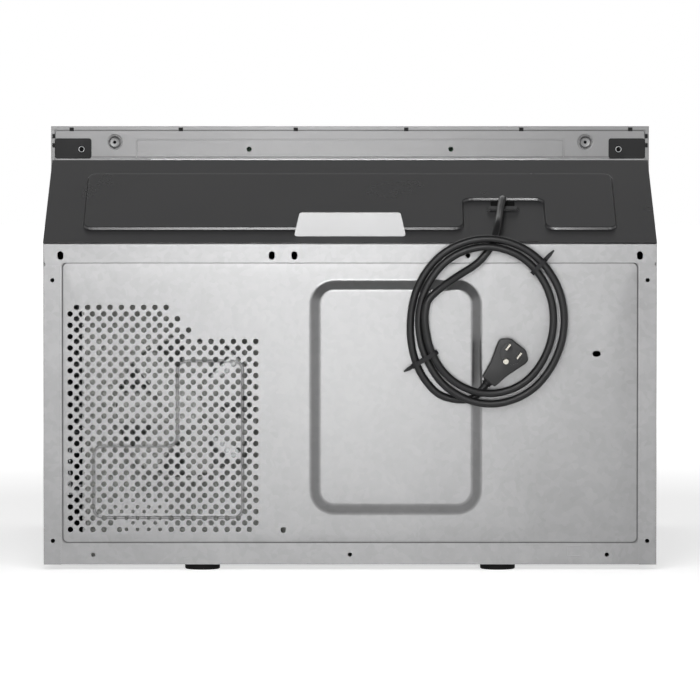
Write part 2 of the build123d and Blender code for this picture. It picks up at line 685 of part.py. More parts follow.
def make_fascia_frame():
    half = fascia_width / 2 - trim_return - 0.4
    low, high = z_fascia_low + trim_return + 0.4, z_fascia_high - trim_return - 0.4
    plane = back_plane(y_flange)
    bracket_z = z_top + fit_gap + bracket_hole_height
    holes = [hole_wire(plane, side * bracket_hole_x, bracket_z, bracket_hole_radius) for side in (-1, 1)]
    holes += [hole_wire(plane, side * centre_hole_x, bracket_z, centre_hole_radius) for side in (-1, 1)]
    dimple_z = z_top + dimple_rise
    holes += [hole_wire(plane, side * dimple_x, dimple_z, dimple_radius) for side in (-1, 1)]
    opening = rectangle(-frame_opening_half, frame_opening_half, frame_opening_low, frame_opening_high, 3.0)
    holes.append((plane * opening).face().outer_wire())
    plate = sheet_with_holes(plane, rectangle(-half, half, low, high, 2.0), holes, frame_sheet)
    y0 = y_flange - frame_depth + 1.0
    rim = block(-half, half, y0, y_flange - 0.1, low, high)
    rim -= block(-half + frame_sheet, half - frame_sheet, y0 - 1, y_flange,
                 low + frame_sheet, high - frame_sheet)
    hem = block(-frame_opening_half - frame_sheet, frame_opening_half + frame_sheet, y0, y_flange - 0.1,
                frame_opening_low - frame_sheet, frame_opening_high + frame_sheet)
    hem -= block(-frame_opening_half, frame_opening_half, y0 - 1, y_flange,
                 frame_opening_low, frame_opening_high)
    dishes = []
    for side in (-1, 1):
        spot = (side * dimple_x, y_flange - 1.5, dimple_z)
        dish = rod(spot, (spot[0], y_flange, spot[2]), dimple_radius + 0.6)
        x, z = spot[0], spot[2]
        dish -= rod((x, y_flange - 0.9, z), (x, y_flange + 1, z), dimple_radius - 0.6)
        dish -= rod((x, y_flange - 3, z), (x, y_flange, z), 1.6)
        dishes.append(dish)
    panel = rectangle(-raised_half, raised_half, z_top - 8, z_top + raised_top)
    raised = prism(plane, panel, -raised_height)
    for side in (-1, 1):
        spot = (side * centre_hole_x, y_flange - 3, bracket_z)
        raised -= rod(spot, (spot[0], y_flange + 3, spot[2]), centre_hole_radius)
    raised -= block(-side_x, side_x, y_flange - 1, y_flange + 3, z_top - 20, z_top + cover_rise + fit_gap)
    keep("fascia_frame", plate + rim + hem + dishes + raised)


def make_brackets():
    z0 = z_top + fit_gap
    pieces = []
    for side in (-1, 1):
        plane = back_plane(y_flange + 1.2)
        hole = hole_wire(plane, side * bracket_hole_x, z0 + bracket_hole_height, bracket_hole_radius)
        outline = rectangle(side * bracket_inner, side * bracket_outer, z0, z0 + bracket_height, 2.5)
        pieces.append(sheet_with_holes(plane, outline, [hole], 1.2))
    keep("cabinet_brackets", *pieces)


def make_clips():
    clips = []
    z = z_fascia_high - trim_return - 0.2
    for x in [share * fascia_width / 2 for share in clip_shares]:
        clips.append(block(x - 2.2, x + 2.2, y_flange, y_flange + 1.0, z - 1.2, z + 2.6))
    half = fascia_width / 2 - trim_return - 0.2
    for side in (-1, 1):
        for drop in side_clip_drops:
            z_clip = z_fascia_high - drop
            clips.append(block(side * (half + 0.2), side * (half + 2.6), y_flange, y_flange + 1.0,
                               z_clip - 2.2, z_clip + 2.2))
    keep("fascia_clips", *clips)


# Control panel, above the drawer front

def make_control_panel():
    half = fascia_width / 2
    z0, z1 = z_drawer_high + reveal, z_fascia_high - 0.6
    y0, y1 = y_front + 4.0, y_flange - frame_depth - 0.2
    shell = block(-half + 1, half - 1, y0, y1, z0, z1)
    shell -= block(-half + 3.5, half - 3.5, y0 + 2.5, y1 + 1, z0 + 2.5, z1 - 2.5)
    shell -= block(-90, 90, y0 - 1, y0 + 4, z0 + 22, z1 - 22)
    keep("control_housing", shell)
    glass = extrude(back_plane(y0 - 0.1) * rectangle(-half, half, z0 - 0.5, z1 + 0.6, 2.0), amount=3.9)
    keep("control_glass", glass)
    board = block(-120, 120, y0 + 6.0, y0 + 7.6, z0 + 8, z1 - 8)
    board += block(-84, 84, y0 + 3.0, y0 + 6.0, z0 + 26, z1 - 26)
    board += block(-110, -90, y0 + 7.6, y0 + 12, z0 + 20, z0 + 50)
    board += block(60, 100, y0 + 7.6, y0 + 14, z0 + 20, z0 + 40)
    for x in (-100, 100):
        board += rod((x, y0 + 2.5, z0 + 14), (x, y0 + 6, z0 + 14), 3.0)
        board += rod((x, y0 + 2.5, z1 - 14), (x, y0 + 6, z1 - 14), 3.0)
    keep("control_board", board)


# Oven cavity and what feeds it

def make_cavity():
    y0, y1 = y_cavity, y_cavity_back
    low, high = cavity_floor, z_cavity_top
    t = cavity_sheet
    outer = block(-cavity_half - t, cavity_half + t, y0, y1 + t, low - t, high + t)
    outer -= block(-cavity_half, cavity_half, y0 - 1, y1, low, high)
    flange = block(-cavity_half - 12, cavity_half + 12, y0, y0 + t,
                   frame_opening_low + 2, frame_opening_high + 14)
    flange -= block(-cavity_half, cavity_half, y0 - 1, y0 + 2, low, high)
    well_low, well_high = high, z_well + t
    w = stirrer_well_half
    well = block(-w - t, w + t, y_well - w - t, y_well + w + t, well_low, well_high)
    cavity = outer + flange + well
    cavity -= block(-w, w, y_well - w, y_well + w, high - 2, z_well)
    cavity -= rod((0, y_well, z_well - 3), (0, y_well, z_well + 5), 30.0)
    for side in (-1, 1):
        for row in range(5):
            for column in range(8):
                y, z = y_cavity_back - 60 - column * 8.0, high - 30 - row * 8.0
                cavity -= rod((side * (cavity_half - 3), y, z), (side * (cavity_half + 3), y, z), 2.0)
    keep("oven_cavity", cavity)


def make_stirrer():
    w = stirrer_well_half
    z1 = z_cavity_top
    cover = block(-w - 8, w + 8, y_well - w - 8, y_well + w + 8, z1 - 1.6, z1)
    keep("stirrer_cover", cover)
    z0 = z1 + 5.0
    hub = tube((0, y_well, z0), (0, y_well, z0 + 8), 9.0, 2.5)
    vanes = []
    for number in range(4):
        vane = block(6, stirrer_radius, -14, 14, 1.0, 2.5)
        vane -= block(24, stirrer_radius - 20, -6, 6, 0, 4)
        vanes.append(Pos(0, y_well, z0) * Rot(0, 0, 90 * number) * vane)
    blades = hub + vanes
    spindle = rod((0, y_well, z0 + 2), (0, y_well, z_guide_high - fit_gap), 2.5)
    keep("stirrer_blades", blades + spindle)
    motor = rod((0, y_well, z_guide_high), (0, y_well, z_guide_high + 20), 25.0)
    motor += block(-34, 34, y_well - 6, y_well + 6, z_guide_high, z_guide_high + 1.2)
    motor += block(-6, 6, y_well + 24, y_well + 32, z_guide_high + 4, z_guide_high + 16)
    motor += rod((0, y_well, z_guide_high), (0, y_well, z_guide_high + 2), 7.0)
    keep("stirrer_motor", motor)


def make_waveguide():
    y0, y1 = y_well - 50, y_guide_back
    t = guide_sheet
    outer = block(-guide_half - t, guide_half + t, y0, y1, z_guide_low, z_guide_high)
    outer -= block(-guide_half, guide_half, y0 + t, y1 - t, z_guide_low + t, z_guide_high - t)
    flange_half = guide_half + 12
    outer += block(-flange_half, flange_half, y0 - 8, y_cavity_back - 2, z_guide_low, z_guide_low + t)
    outer -= rod((0, y_well, z_guide_low - 1), (0, y_well, z_guide_low + 3), 30.0)
    outer -= rod((0, y_magnetron, z_guide_low - 1), (0, y_magnetron, z_guide_low + 3), 16.0)
    outer -= rod((0, y_well, z_guide_high - 3), (0, y_well, z_guide_high + 3), 4.0)
    keep("waveguide", outer)


def make_magnetron():
    x, y, top = magnetron_width / 2, y_magnetron, z_guide_low
    length = magnetron_length / 2
    low = top - magnetron_body
    yoke = block(-x, x, y - length, y + length, low + 34, top - 8)
    yoke -= block(-x + 2, x - 2, y - length - 1, y + length + 1, low + 36, top - 10)
    fins = []
    for number in range(7):
        z = low + 41 + number * 7.0
        fins.append(block(-x + 2, x - 2, y - length + 3, y + length - 3, z, z + 0.8))
    core = rod((0, y, low + 36), (0, y, top - 10), 19.0)
    filter_box = block(-x + 8, x - 8, y - length + 6, y + length - 6, low, low + 34)
    collar = rod((0, y, top - 10), (0, y, top), 22.0)
    antenna = rod((0, y, top), (0, y, top + 22), 8.0)
    plate = block(-x, x, y - length, y + length, top - 8, top - 6.5)
    legs = [block(sx * (x - 8), sx * x, y - length, y + length, top - 8, top) for sx in (-1, 1)]
    keep("magnetron", yoke + fins + core + filter_box + collar + antenna + plate + legs)


def make_high_voltage():
    z0 = z_body + pan_sheet
    x, y = 104.5 - side_x, y_rear - 60
    core = block(x - 42, x + 42, y - 38, y + 38, z0 + 12, z0 + 82)
    for middle in (x - 20, x + 20):
        core -= block(middle - 9, middle + 9, y - 40, y + 40, z0 + 25, z0 + 69)
    coils = block(x - 28, x + 28, y - 48, y + 48, z0 + 26, z0 + 68)
    feet = block(x - 48, x + 48, y - 34, y + 34, z0, z0 + 12)
    keep("high_voltage_transformer", core + coils + feet)
    cx, cy = x + 115.0, y
    can = extrude(Plane(origin=(cx, cy, z0)) * SlotOverall(52, 34), amount=86)
    can += block(cx - 24, cx + 24, cy - 20, cy + 20, z0, z0 + 2)
    for dx in (-10, 10):
        can += block(cx + dx - 3, cx + dx + 3, cy - 0.5, cy + 0.5, z0 + 86, z0 + 98)
    keep("high_voltage_capacitor", can)


def make_noise_filter():
    z1 = z_rear_top - 22
    y1 = y_cavity_back + cavity_sheet
    x0 = -cavity_half
    x1 = x0 + 76
    board = block(x0, x1, y1 + 8, y1 + 9.6, z1 - 80, z1)
    board += rod((x0 + 21, y1 + 9.6, z1 - 30), (x0 + 21, y1 + 24, z1 - 30), 12.0)
    board += block(x0 + 41, x0 + 66, y1 + 9.6, y1 + 26, z1 - 70, z1 - 55)
    board += block(x0 + 41, x0 + 66, y1 + 9.6, y1 + 22, z1 - 40, z1 - 20)
    for x in (x0 + 6, x1 - 6):
        for z in (z1 - 74, z1 - 6):
            board += rod((x, y1, z), (x, y1 + 8, z), 3.0)
    keep("noise_filter", board)


# Cooling fan behind the vents

y_fan = y_rear - 42.0
z_fan = z_body + fan_height


def make_fan():
    hub = rod((fan_x, y_fan, z_fan), (fan_x, y_fan + fan_depth, z_fan), 16.0)
    hub -= rod((fan_x, y_fan - 1, z_fan), (fan_x, y_fan + fan_depth - 4, z_fan), 3.0)
    wheel = hub
    for number in range(7):
        blade = Pos(38, fan_depth / 2, 0) * Rot(32, 0, 0) * Box(fan_radius - 14, 1.8, 30)
        wheel += Pos(fan_x, y_fan, z_fan) * Rot(0, 360 / 7 * number, 0) * blade
    keep("fan_wheel", wheel)
    shaft_end = y_fan + fan_depth - 4 - fit_gap
    motor = rod((fan_x, y_fan - 40, z_fan), (fan_x, y_fan - 8, z_fan), 27.0)
    motor += rod((fan_x, y_fan - 8, z_fan), (fan_x, shaft_end, z_fan), 3.0 - shaft_clearance)
    arm = Pos(46, 0, 0) * Box(44, 3, 9)
    arms = [Pos(fan_x, y_fan - 13.5, z_fan) * Rot(0, 45 + 90 * number, 0) * arm for number in range(4)]
    keep("fan_motor", motor + arms)
    y0, y1 = y_fan - 12.0, y_rear - 3 * panel_sheet - pan_sheet - fit_gap
    low, high = z_body + pan_sheet, z_body + vent_top + vent_radius + 2
    x0, x1 = fan_x - 92, side_x - 35.5
    duct = block(x0, x1, y0, y0 + 1.2, low, high)
    duct -= rod((fan_x, y0 - 2, z_fan), (fan_x, y0 + 3, z_fan), fan_radius + 2)
    duct += tube((fan_x, y0, z_fan), (fan_x, y0 + 34, z_fan), fan_radius + 4, fan_radius + 2)
    duct += block(x1 - 1.2, x1, y0, y1, low, high)
    duct += block(x0, x1, y0, y1, high - 1.2, high)
    duct += block(x0, x0 + 1.2, y0, y1, low, high)
    keep("fan_duct", duct)


# Drawer: everything that slides out

def make_drawer_front():
    half = fascia_width / 2
    z0, z1 = z_drawer_low, z_drawer_high
    front = block(-half, half, y_front, y_drawer_back, z0, z1)
    front = fillet(front.edges().filter_by(Axis.Z).group_by(Axis.Y)[0], 3.0)
    front -= block(-half + skin, half - skin, y_front + skin, y_drawer_back + 1, z0 + skin, z1 - skin)
    window = rectangle(-window_half, window_half, window_low, window_high, 4.0)
    front -= extrude(back_plane(y_front + 5) * window, amount=10)
    keep("drawer_front_panel", front)
    glass = extrude(back_plane(y_front + skin + 4.2) * rectangle(
        -window_half - 12, window_half + 12, window_low - 12, window_high + 12, 4.0), amount=4.0)
    keep("window_glass", glass)


def make_inner_frame():
    # the pressed inner door: a flat back plate and the hollow choke ring that stands behind it
    y1 = y_flange
    half = fascia_width / 2 - 8
    plate = block(-half, half, y_drawer_back - 3.0, y_drawer_back - 1.8,
                  z_drawer_low + 6, z_drawer_high - 6)
    opening = rectangle(-window_half, window_half, window_low, window_high, 4.0)
    window = extrude(back_plane(y_flange + 5) * opening, amount=60)
    box = block(-choke_half, choke_half, y_drawer_back - 3.0, y1, choke_low, choke_high)
    box -= block(-choke_half + 1.2, choke_half - 1.2, y_drawer_back - 1.8, y1 + 1,
                 choke_low + 1.2, choke_high - 1.2)
    inner = block(-choke_half + 24, choke_half - 24, y_drawer_back - 3.0, y1,
                  choke_low + 24, choke_high - 24)
    inner -= block(-choke_half + 25.2, choke_half - 25.2, y_drawer_back - 1.8, y1 + 1,
                   choke_low + 25.2, choke_high - 25.2)
    frame = plate + box + inner - window
    stubs = []
    for x in (-window_half - 60, window_half + 60):
        for z in (z_drawer_low + 60, z_drawer_high - 60):
            stubs.append(rod((x, y_front + skin, z), (x, y_drawer_back - 3.0, z), 5.0))
    keep("door_inner_frame", frame + stubs)
    screen = block(-window_half - 8, window_half + 8, y_drawer_back - 4.0, y_drawer_back - 3.0,
                   window_low - 8, window_high + 8)
    screen += block(-window_half - 8, window_half + 8, y_front + skin + 4.2, y_drawer_back - 3.0,
                    window_low - 8, window_low - 7)
    screen += block(-window_half - 8, window_half + 8, y_front + skin + 4.2, y_drawer_back - 3.0,
                    window_high + 7, window_high + 8)
    keep("window_screen", screen)
    cover = block(-choke_half, choke_half, y1, y1 + 1.5, choke_low, choke_high)
    cover -= extrude(back_plane(y_flange + 5) * rectangle(
        -choke_half + 24, choke_half - 24, choke_low + 24, choke_high - 24, 5.0), amount=10)
    keep("choke_cover", cover)
    pane = block(-choke_half + 25.6, choke_half - 25.6, y_drawer_back - 1.8, y_drawer_back + 1.2,
                 choke_low + 25.6, choke_high - 25.6)
    keep("inner_window", pane)


def make_tub():
    y0, y1 = y_flange + 1.5, y_flange + 1.5 + tub_depth
    z0, z1 = z_tub, z_tub + tub_height
    tub = block(-tub_half, tub_half, y0, y1, z0, z1)
    tub = fillet(tub.edges().filter_by(Axis.Z).group_by(Axis.Y)[-1], 18.0)
    inside = block(-tub_half + tub_wall, tub_half - tub_wall, y0 - 1, y1 - tub_wall, z0 + tub_wall, z1 + 1)
    inside = fillet(inside.edges().filter_by(Axis.Z).group_by(Axis.Y)[-1], 14.0)
    tub -= inside
    brow = block(-tub_half, tub_half, y0, y0 + tub_wall, z0, choke_low + 30)
    keep("drawer_tub", tub + brow)
    shelf = block(-tub_half + tub_wall + 1, tub_half - tub_wall - 1, y0 + tub_wall + 1, y1 - tub_wall - 1,
                  z0 + tub_wall, z_plate)
    shelf = fillet(shelf.edges().filter_by(Axis.Z), 12.0)
    keep("ceramic_base", shelf)


def rail_profiles():
    # cross-sections of the three slide members on the +X side, as outlines in X and Z
    t, gap = rail_sheet, fit_gap
    x0, x1 = rail_inner_face, rail_outer_face
    low, high = rail_low, rail_low + rail_height
    mouth = x0 + 2.4
    lip = 6.0
    outer = [(x1, low), (x1, high), (mouth, high), (mouth, high - lip), (mouth + t, high - lip),
             (mouth + t, high - t), (x1 - t, high - t), (x1 - t, low + t), (mouth + t, low + t),
             (mouth + t, low + lip), (mouth, low + lip), (mouth, low)]
    a, b = low + t + gap, high - t - gap
    right = x1 - t - gap
    left = mouth + t + gap
    middle = [(right, a), (right, b), (left, b), (left, b - t), (right - t, b - t), (right - t, a + t),
              (left, a + t), (left, a)]
    c, d = a + t + gap, b - t - gap
    back = right - t - gap
    web_low, web_high = low + lip + gap, high - lip - gap
    inner = [(x0, web_low), (x0, web_high), (back - t, web_high), (back - t, d), (back, d),
             (back, web_high - t), (x0 + t, web_high - t), (x0 + t, web_low + t), (back, web_low + t),
             (back, c), (back - t, c), (back - t, web_low)]
    return outer, middle, inner


def make_slides():
    outer, middle, inner = rail_profiles()
    plane = back_plane(y_rail + rail_length)
    keep("outer_rails", *both_sides(prism(plane, Polygon(*outer, align=None), rail_length)))
    short = back_plane(y_rail + rail_length - 15)
    keep("middle_rails", *both_sides(prism(short, Polygon(*middle, align=None), rail_length - 15)))
    last = back_plane(y_rail + rail_length - 30)
    reach = rail_length - 30
    keep("inner_rails", *both_sides(prism(last, Polygon(*inner, align=None), reach)))
    spacers = []
    for y in (y_rail + 40, y_rail + 360):
        spacer = block(rail_outer_face, side_x - panel_sheet, y, y + 40,
                       rail_low + 6, rail_low + rail_height - 6)
        spacer -= block(rail_outer_face + 2, side_x - panel_sheet - 2, y - 1, y + 41,
                        rail_low + 8, rail_low + rail_height - 8)
        spacers += both_sides(spacer)
    keep("rail_spacers", *spacers)
    x0, x1 = rail_inner_face - arm_sheet, rail_inner_face
    y0, low, high = y_drawer_back - 1.8, z_rack + rack_back + 2, rail_low + rail_height - 7
    arm = block(x0, x1, y0, y_rail + reach, low, high)
    arm += block(x0, x1 + 12, y0, y0 + 3, low, high)
    keep("drawer_arms", *both_sides(arm))


def make_racks():
    pitch = math.pi * rack_module
    y0, y1 = y_flange + 4.0, y_rail + rail_length - 34
    tip, root = z_rack - 0.85 * rack_module, z_rack + 1.15 * rack_module
    back = z_rack + rack_back + 2
    x0, x1 = x_rack - rack_width / 2, x_rack + rack_width / 2
    first = math.ceil((y0 + 2 - y_shaft) / pitch - 0.5)
    last = math.floor((y1 - 2 - y_shaft) / pitch - 0.5)
    points = [(y0, back), (y0, root)]
    for number in range(first, last + 1):
        centre = y_shaft + (number + 0.5) * pitch
        for share, z in ((-0.30, root), (-0.13, tip), (0.13, tip), (0.30, root)):
            points.append((centre + share * pitch, z))
    points += [(y1, root), (y1, back)]
    plane = Plane(origin=(x0, 0, 0), x_dir=(0, 1, 0), z_dir=(1, 0, 0))
    rack = extrude(plane * Polygon(*points, align=None), amount=x1 - x0)
    keep("gear_racks", *both_sides(rack))


def make_drive():
    z = shaft_height
    reach = x_rack + rack_width / 2 + 2
    shaft = rod((-reach, y_shaft, z), (reach, y_shaft, z), shaft_radius)
    keep("drive_shaft", shaft)
    pinion = gear(pinion_teeth, rack_module, gear_width, shaft_radius, (x_rack, y_shaft, z), 90)
    keep("drive_pinions", *both_sides(pinion))
    wheel = gear(drive_teeth, drive_module, gear_width, shaft_radius, (drive_gear_x, y_shaft, z), 90)
    keep("drive_gear", wheel)
    y_motor = y_shaft + drive_radius + motor_radius
    half_step = 180 / motor_teeth
    motor_centre = (drive_gear_x, y_motor, z)
    output = gear(motor_teeth, drive_module, gear_width + 2, 3.0, motor_centre, 180 - half_step)
    keep("motor_gear", output)
    face = drive_gear_x - gear_width
    motor = rod((face - 4 - 60, y_motor + 6, z), (face - 24, y_motor + 6, z), 18.0)
    motor += block(face - 24, face - 2, y_motor - 18, y_motor + 26, z_body + pan_sheet, z + 22)
    motor += rod((face - 2, y_motor, z), (drive_gear_x + gear_width, y_motor, z), 3.0 - shaft_clearance)
    z0 = z_body + pan_sheet
    motor += block(face - 30, face + 2, y_motor + 26, y_motor + 38, z0, z0 + 2)
    keep("drive_motor", motor)
    stands = []
    for x in (-200.0, 60.0, 200.0):
        stand = block(x - 3, x + 3, y_shaft - 9, y_shaft + 9, z_body + pan_sheet, z + 8)
        stand += block(x - 3, x + 12, y_shaft - 9, y_shaft + 9, z_body + pan_sheet, z_body + pan_sheet + 2)
        stand -= rod((x - 10, y_shaft, z), (x + 10, y_shaft, z), shaft_radius + shaft_clearance)
        stands.append(stand)
    keep("shaft_stands", *stands)


def make_switches():
    # two switches behind the frame; the drawer's inner door holds their plungers in
    z = frame_opening_high - 12
    bodies, plungers = [], []
    for side in (-1, 1):
        x = side * (frame_opening_half - 14)
        y0 = y_drawer_back + 6.0
        body = block(x - 5, x + 5, y0, y0 + 24, z - 8, z + 8)
        body += block(x - 5, x + 5, y0 + 4, y_flange + 3, z + 6, z + 11.5)
        body -= rod((x, y0 - 1, z), (x, y0 + 9, z), 2.0 + shaft_clearance)
        bodies.append(body)
        plungers.append(rod((x, y_drawer_back - 1.8 + fit_gap, z), (x, y0 + 5.5, z), 2.0))
    keep("interlock_switches", *bodies)
    keep("switch_plungers", *plungers)


def make_small_parts():
    discs = []
    for y in (y_cavity + 120, y_cavity + 300):
        z = z_cavity_top + cavity_sheet
        disc = rod((150, y, z), (150, y, z + 9), 9.0) + block(136, 164, y - 5, y + 5, z, z + 1)
        disc += block(145, 147, y - 2, y + 2, z + 9, z + 16) + block(153, 155, y - 2, y + 2, z + 9, z + 16)
        discs.append(disc)
    keep("thermal_cutouts", *discs)
    x = cavity_half + cavity_sheet
    y, z = y_cavity_back - 90, z_cavity_top - 46
    lamp = block(x, x + 14, y - 20, y + 20, z - 16, z + 16)
    lamp -= block(x - 1, x + 12, y - 18, y + 18, z - 14, z + 14)
    bulb = rod((x + 6, y - 10, z), (x + 6, y + 10, z), 4.0)
    bulb += rod((x + 6, y + 10, z), (x + 6, y + 18, z), 3.0)
    keep("cavity_lamp", lamp, bulb)


make_base_pan()
make_feet()
make_rear_panel()
make_top_bar()
make_side_panel(1, "side_panel_left")
make_side_panel(-1, "side_panel_right")
make_slope_cover()
make_top_cover()
make_stop_plate()
make_cord_cover()
make_strain_relief()
make_plug(make_cord())
make_ties()
make_fascia_trim()
make_fascia_frame()
make_brackets()
make_clips()
make_control_panel()
make_cavity()
make_stirrer()
make_waveguide()
make_magnetron()
make_high_voltage()
make_noise_filter()
make_fan()
make_drawer_front()
make_inner_frame()
make_tub()
make_slides()
make_racks()
make_drive()
make_switches()
make_small_parts()

for name, solid in nodes.items():
    export_step(solid, f"parts/{name}.step")
print(len(nodes), "nodes written")
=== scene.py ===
import math

import bmesh
import bpy
import numpy as np
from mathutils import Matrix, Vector
from mathutils.geometry import delaunay_2d_cdt


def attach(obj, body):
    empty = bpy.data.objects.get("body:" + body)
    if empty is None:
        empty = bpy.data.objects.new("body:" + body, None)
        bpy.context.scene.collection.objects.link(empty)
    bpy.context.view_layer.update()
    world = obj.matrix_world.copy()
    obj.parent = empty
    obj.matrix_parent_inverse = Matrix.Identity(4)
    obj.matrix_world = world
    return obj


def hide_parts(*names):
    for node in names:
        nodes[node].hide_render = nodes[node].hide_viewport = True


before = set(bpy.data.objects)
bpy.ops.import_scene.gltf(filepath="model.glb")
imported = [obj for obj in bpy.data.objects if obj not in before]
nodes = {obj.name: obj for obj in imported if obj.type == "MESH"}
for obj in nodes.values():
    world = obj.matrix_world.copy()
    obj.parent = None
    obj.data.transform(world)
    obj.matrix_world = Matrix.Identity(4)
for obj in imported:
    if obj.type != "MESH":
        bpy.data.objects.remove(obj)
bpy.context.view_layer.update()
print("frame loaded:", len(nodes), "nodes")

mm = 0.001

# places that several pieces share, in millimetres
body = {
    "sideX": 279.5, "rearY": 291.25, "frontFlangeY": -263.75,
    "rearTopZ": 298.9, "slopeDepth": 157.0, "slopeRise": 74.5,
}


# camera at the photograph's viewing angle

cameraLook = {"place": (0.0, 5.14125, 0.3888), "pitch": 87.7817, "lens": 274.06, "sensor": 36.0}


def addCamera(look):
    data = bpy.data.cameras.new("camera")
    data.lens = look["lens"]
    data.sensor_width = look["sensor"]
    data.clip_start, data.clip_end = 0.1, 60.0
    camera = bpy.data.objects.new("camera", data)
    camera.location = look["place"]
    camera.rotation_euler = (math.radians(look["pitch"]), 0.0, math.pi)
    bpy.context.scene.collection.objects.link(camera)
    bpy.context.scene.camera = camera


addCamera(cameraLook)


# materials

def newMaterial(name):
    material = bpy.data.materials.new(name)
    material.use_nodes = True
    tree = material.node_tree
    shader = tree.nodes["Principled BSDF"]
    return material, tree, shader


def addNode(tree, kind, inputs=None, **settings):
    node = tree.nodes.new(kind)
    for key, value in settings.items():
        setattr(node, key, value)
    for key, value in (inputs or {}).items():
        node.inputs[key].default_value = value
    return node


def patternPlace(tree, scale=(1.0, 1.0, 1.0)):
    place = addNode(tree, "ShaderNodeTexCoord")
    stretch = addNode(tree, "ShaderNodeMapping", {"Scale": scale})
    tree.links.new(place.outputs["Object"], stretch.inputs["Vector"])
    return stretch.outputs["Vector"]


def surface(name, look):
    # a base colour that drifts a little, a roughness that drifts with it, and a fine bump
    material, tree, shader = newMaterial(name)
    link = tree.links.new
    color = look["color"]
    shader.inputs["Metallic"].default_value = look.get("metallic", 0.0)
    shader.inputs["Specular IOR Level"].default_value = look.get("specular", 0.5)
    shader.inputs["Coat Weight"].default_value = look.get("coat", 0.0)
    shader.inputs["Coat Roughness"].default_value = look.get("coatRough", 0.08)
    shader.inputs["Transmission Weight"].default_value = look.get("clear", 0.0)
    vector = patternPlace(tree, look.get("stretch", (1.0, 1.0, 1.0)))
    drift = addNode(tree, "ShaderNodeTexNoise", {"Scale": look.get("driftScale", 14.0), "Detail": 4.0,
                                                 "Roughness": 0.6})
    link(vector, drift.inputs["Vector"])
    value = drift.outputs["Fac"]
    if look.get("spangle"):
        crystals = addNode(tree, "ShaderNodeTexVoronoi", {"Scale": look["spangleScale"], "Randomness": 1.0})
        warp = addNode(tree, "ShaderNodeMix", {"Factor": look.get("warp", 0.03)}, data_type="VECTOR")
        link(vector, warp.inputs[4])
        link(drift.outputs["Color"], warp.inputs[5])
        link(warp.outputs[1], crystals.inputs["Vector"])
        shade = addNode(tree, "ShaderNodeSeparateColor")
        link(crystals.outputs["Color"], shade.inputs["Color"])
        blend = addNode(tree, "ShaderNodeMix", {"Factor": look["spangle"]}, data_type="FLOAT")
        link(value, blend.inputs[2])
        link(shade.outputs["Red"], blend.inputs[3])
        value = blend.outputs[0]
    spread = look.get("spread", 0.06)
    ramp = addNode(tree, "ShaderNodeMapRange", {"From Min": 0.2, "From Max": 0.8,
                                                "To Min": 1.0 - spread, "To Max": 1.0 + spread})
    link(value, ramp.inputs["Value"])
    tint = addNode(tree, "ShaderNodeMix", {"Factor": 1.0}, data_type="RGBA", blend_type="MULTIPLY")
    tint.inputs[6].default_value = (*color, 1.0)
    # painted shade: where the point attribute is high, the base colour darkens towards the given level,
    # standing in for shadow in grooves and along steps
    if look.get("paintedShadeLevel"):
        paintedShade = addNode(tree, "ShaderNodeAttribute", attribute_name="paintedShade")
        darker = addNode(tree, "ShaderNodeMapRange", {"From Min": 0.35, "From Max": 0.95, "To Min": 1.0,
                                                      "To Max": look["paintedShadeLevel"]})
        shadedTone = addNode(tree, "ShaderNodeMath", operation="MULTIPLY")
        link(paintedShade.outputs["Fac"], darker.inputs["Value"])
        link(darker.outputs["Result"], shadedTone.inputs[0])
        link(ramp.outputs["Result"], shadedTone.inputs[1])
        link(shadedTone.outputs[0], tint.inputs[7])
    else:
        link(ramp.outputs["Result"], tint.inputs[7])
    link(tint.outputs[2], shader.inputs["Base Color"])
    rough = look.get("rough", 0.5)
    roughSpread = look.get("roughSpread", 0.06)
    roughRamp = addNode(tree, "ShaderNodeMapRange", {"From Min": 0.2, "From Max": 0.8,
                                                     "To Min": max(rough - roughSpread, 0.01),
                                                     "To Max": rough + roughSpread})
    link(value, roughRamp.inputs["Value"])
    link(roughRamp.outputs["Result"], shader.inputs["Roughness"])
    if look.get("bump"):
        grain = addNode(tree, "ShaderNodeTexNoise", {"Scale": look.get("grainScale", 400.0), "Detail": 3.0})
        grainVector = patternPlace(tree, look.get("grainStretch", (1.0, 1.0, 1.0)))
        link(grainVector, grain.inputs["Vector"])
        bump = addNode(tree, "ShaderNodeBump", {"Strength": look["bump"],
                                                "Distance": look.get("bumpDepth", 0.0004)})
        link(grain.outputs["Fac"], bump.inputs["Height"])
        link(bump.outputs["Normal"], shader.inputs["Normal"])
    return material


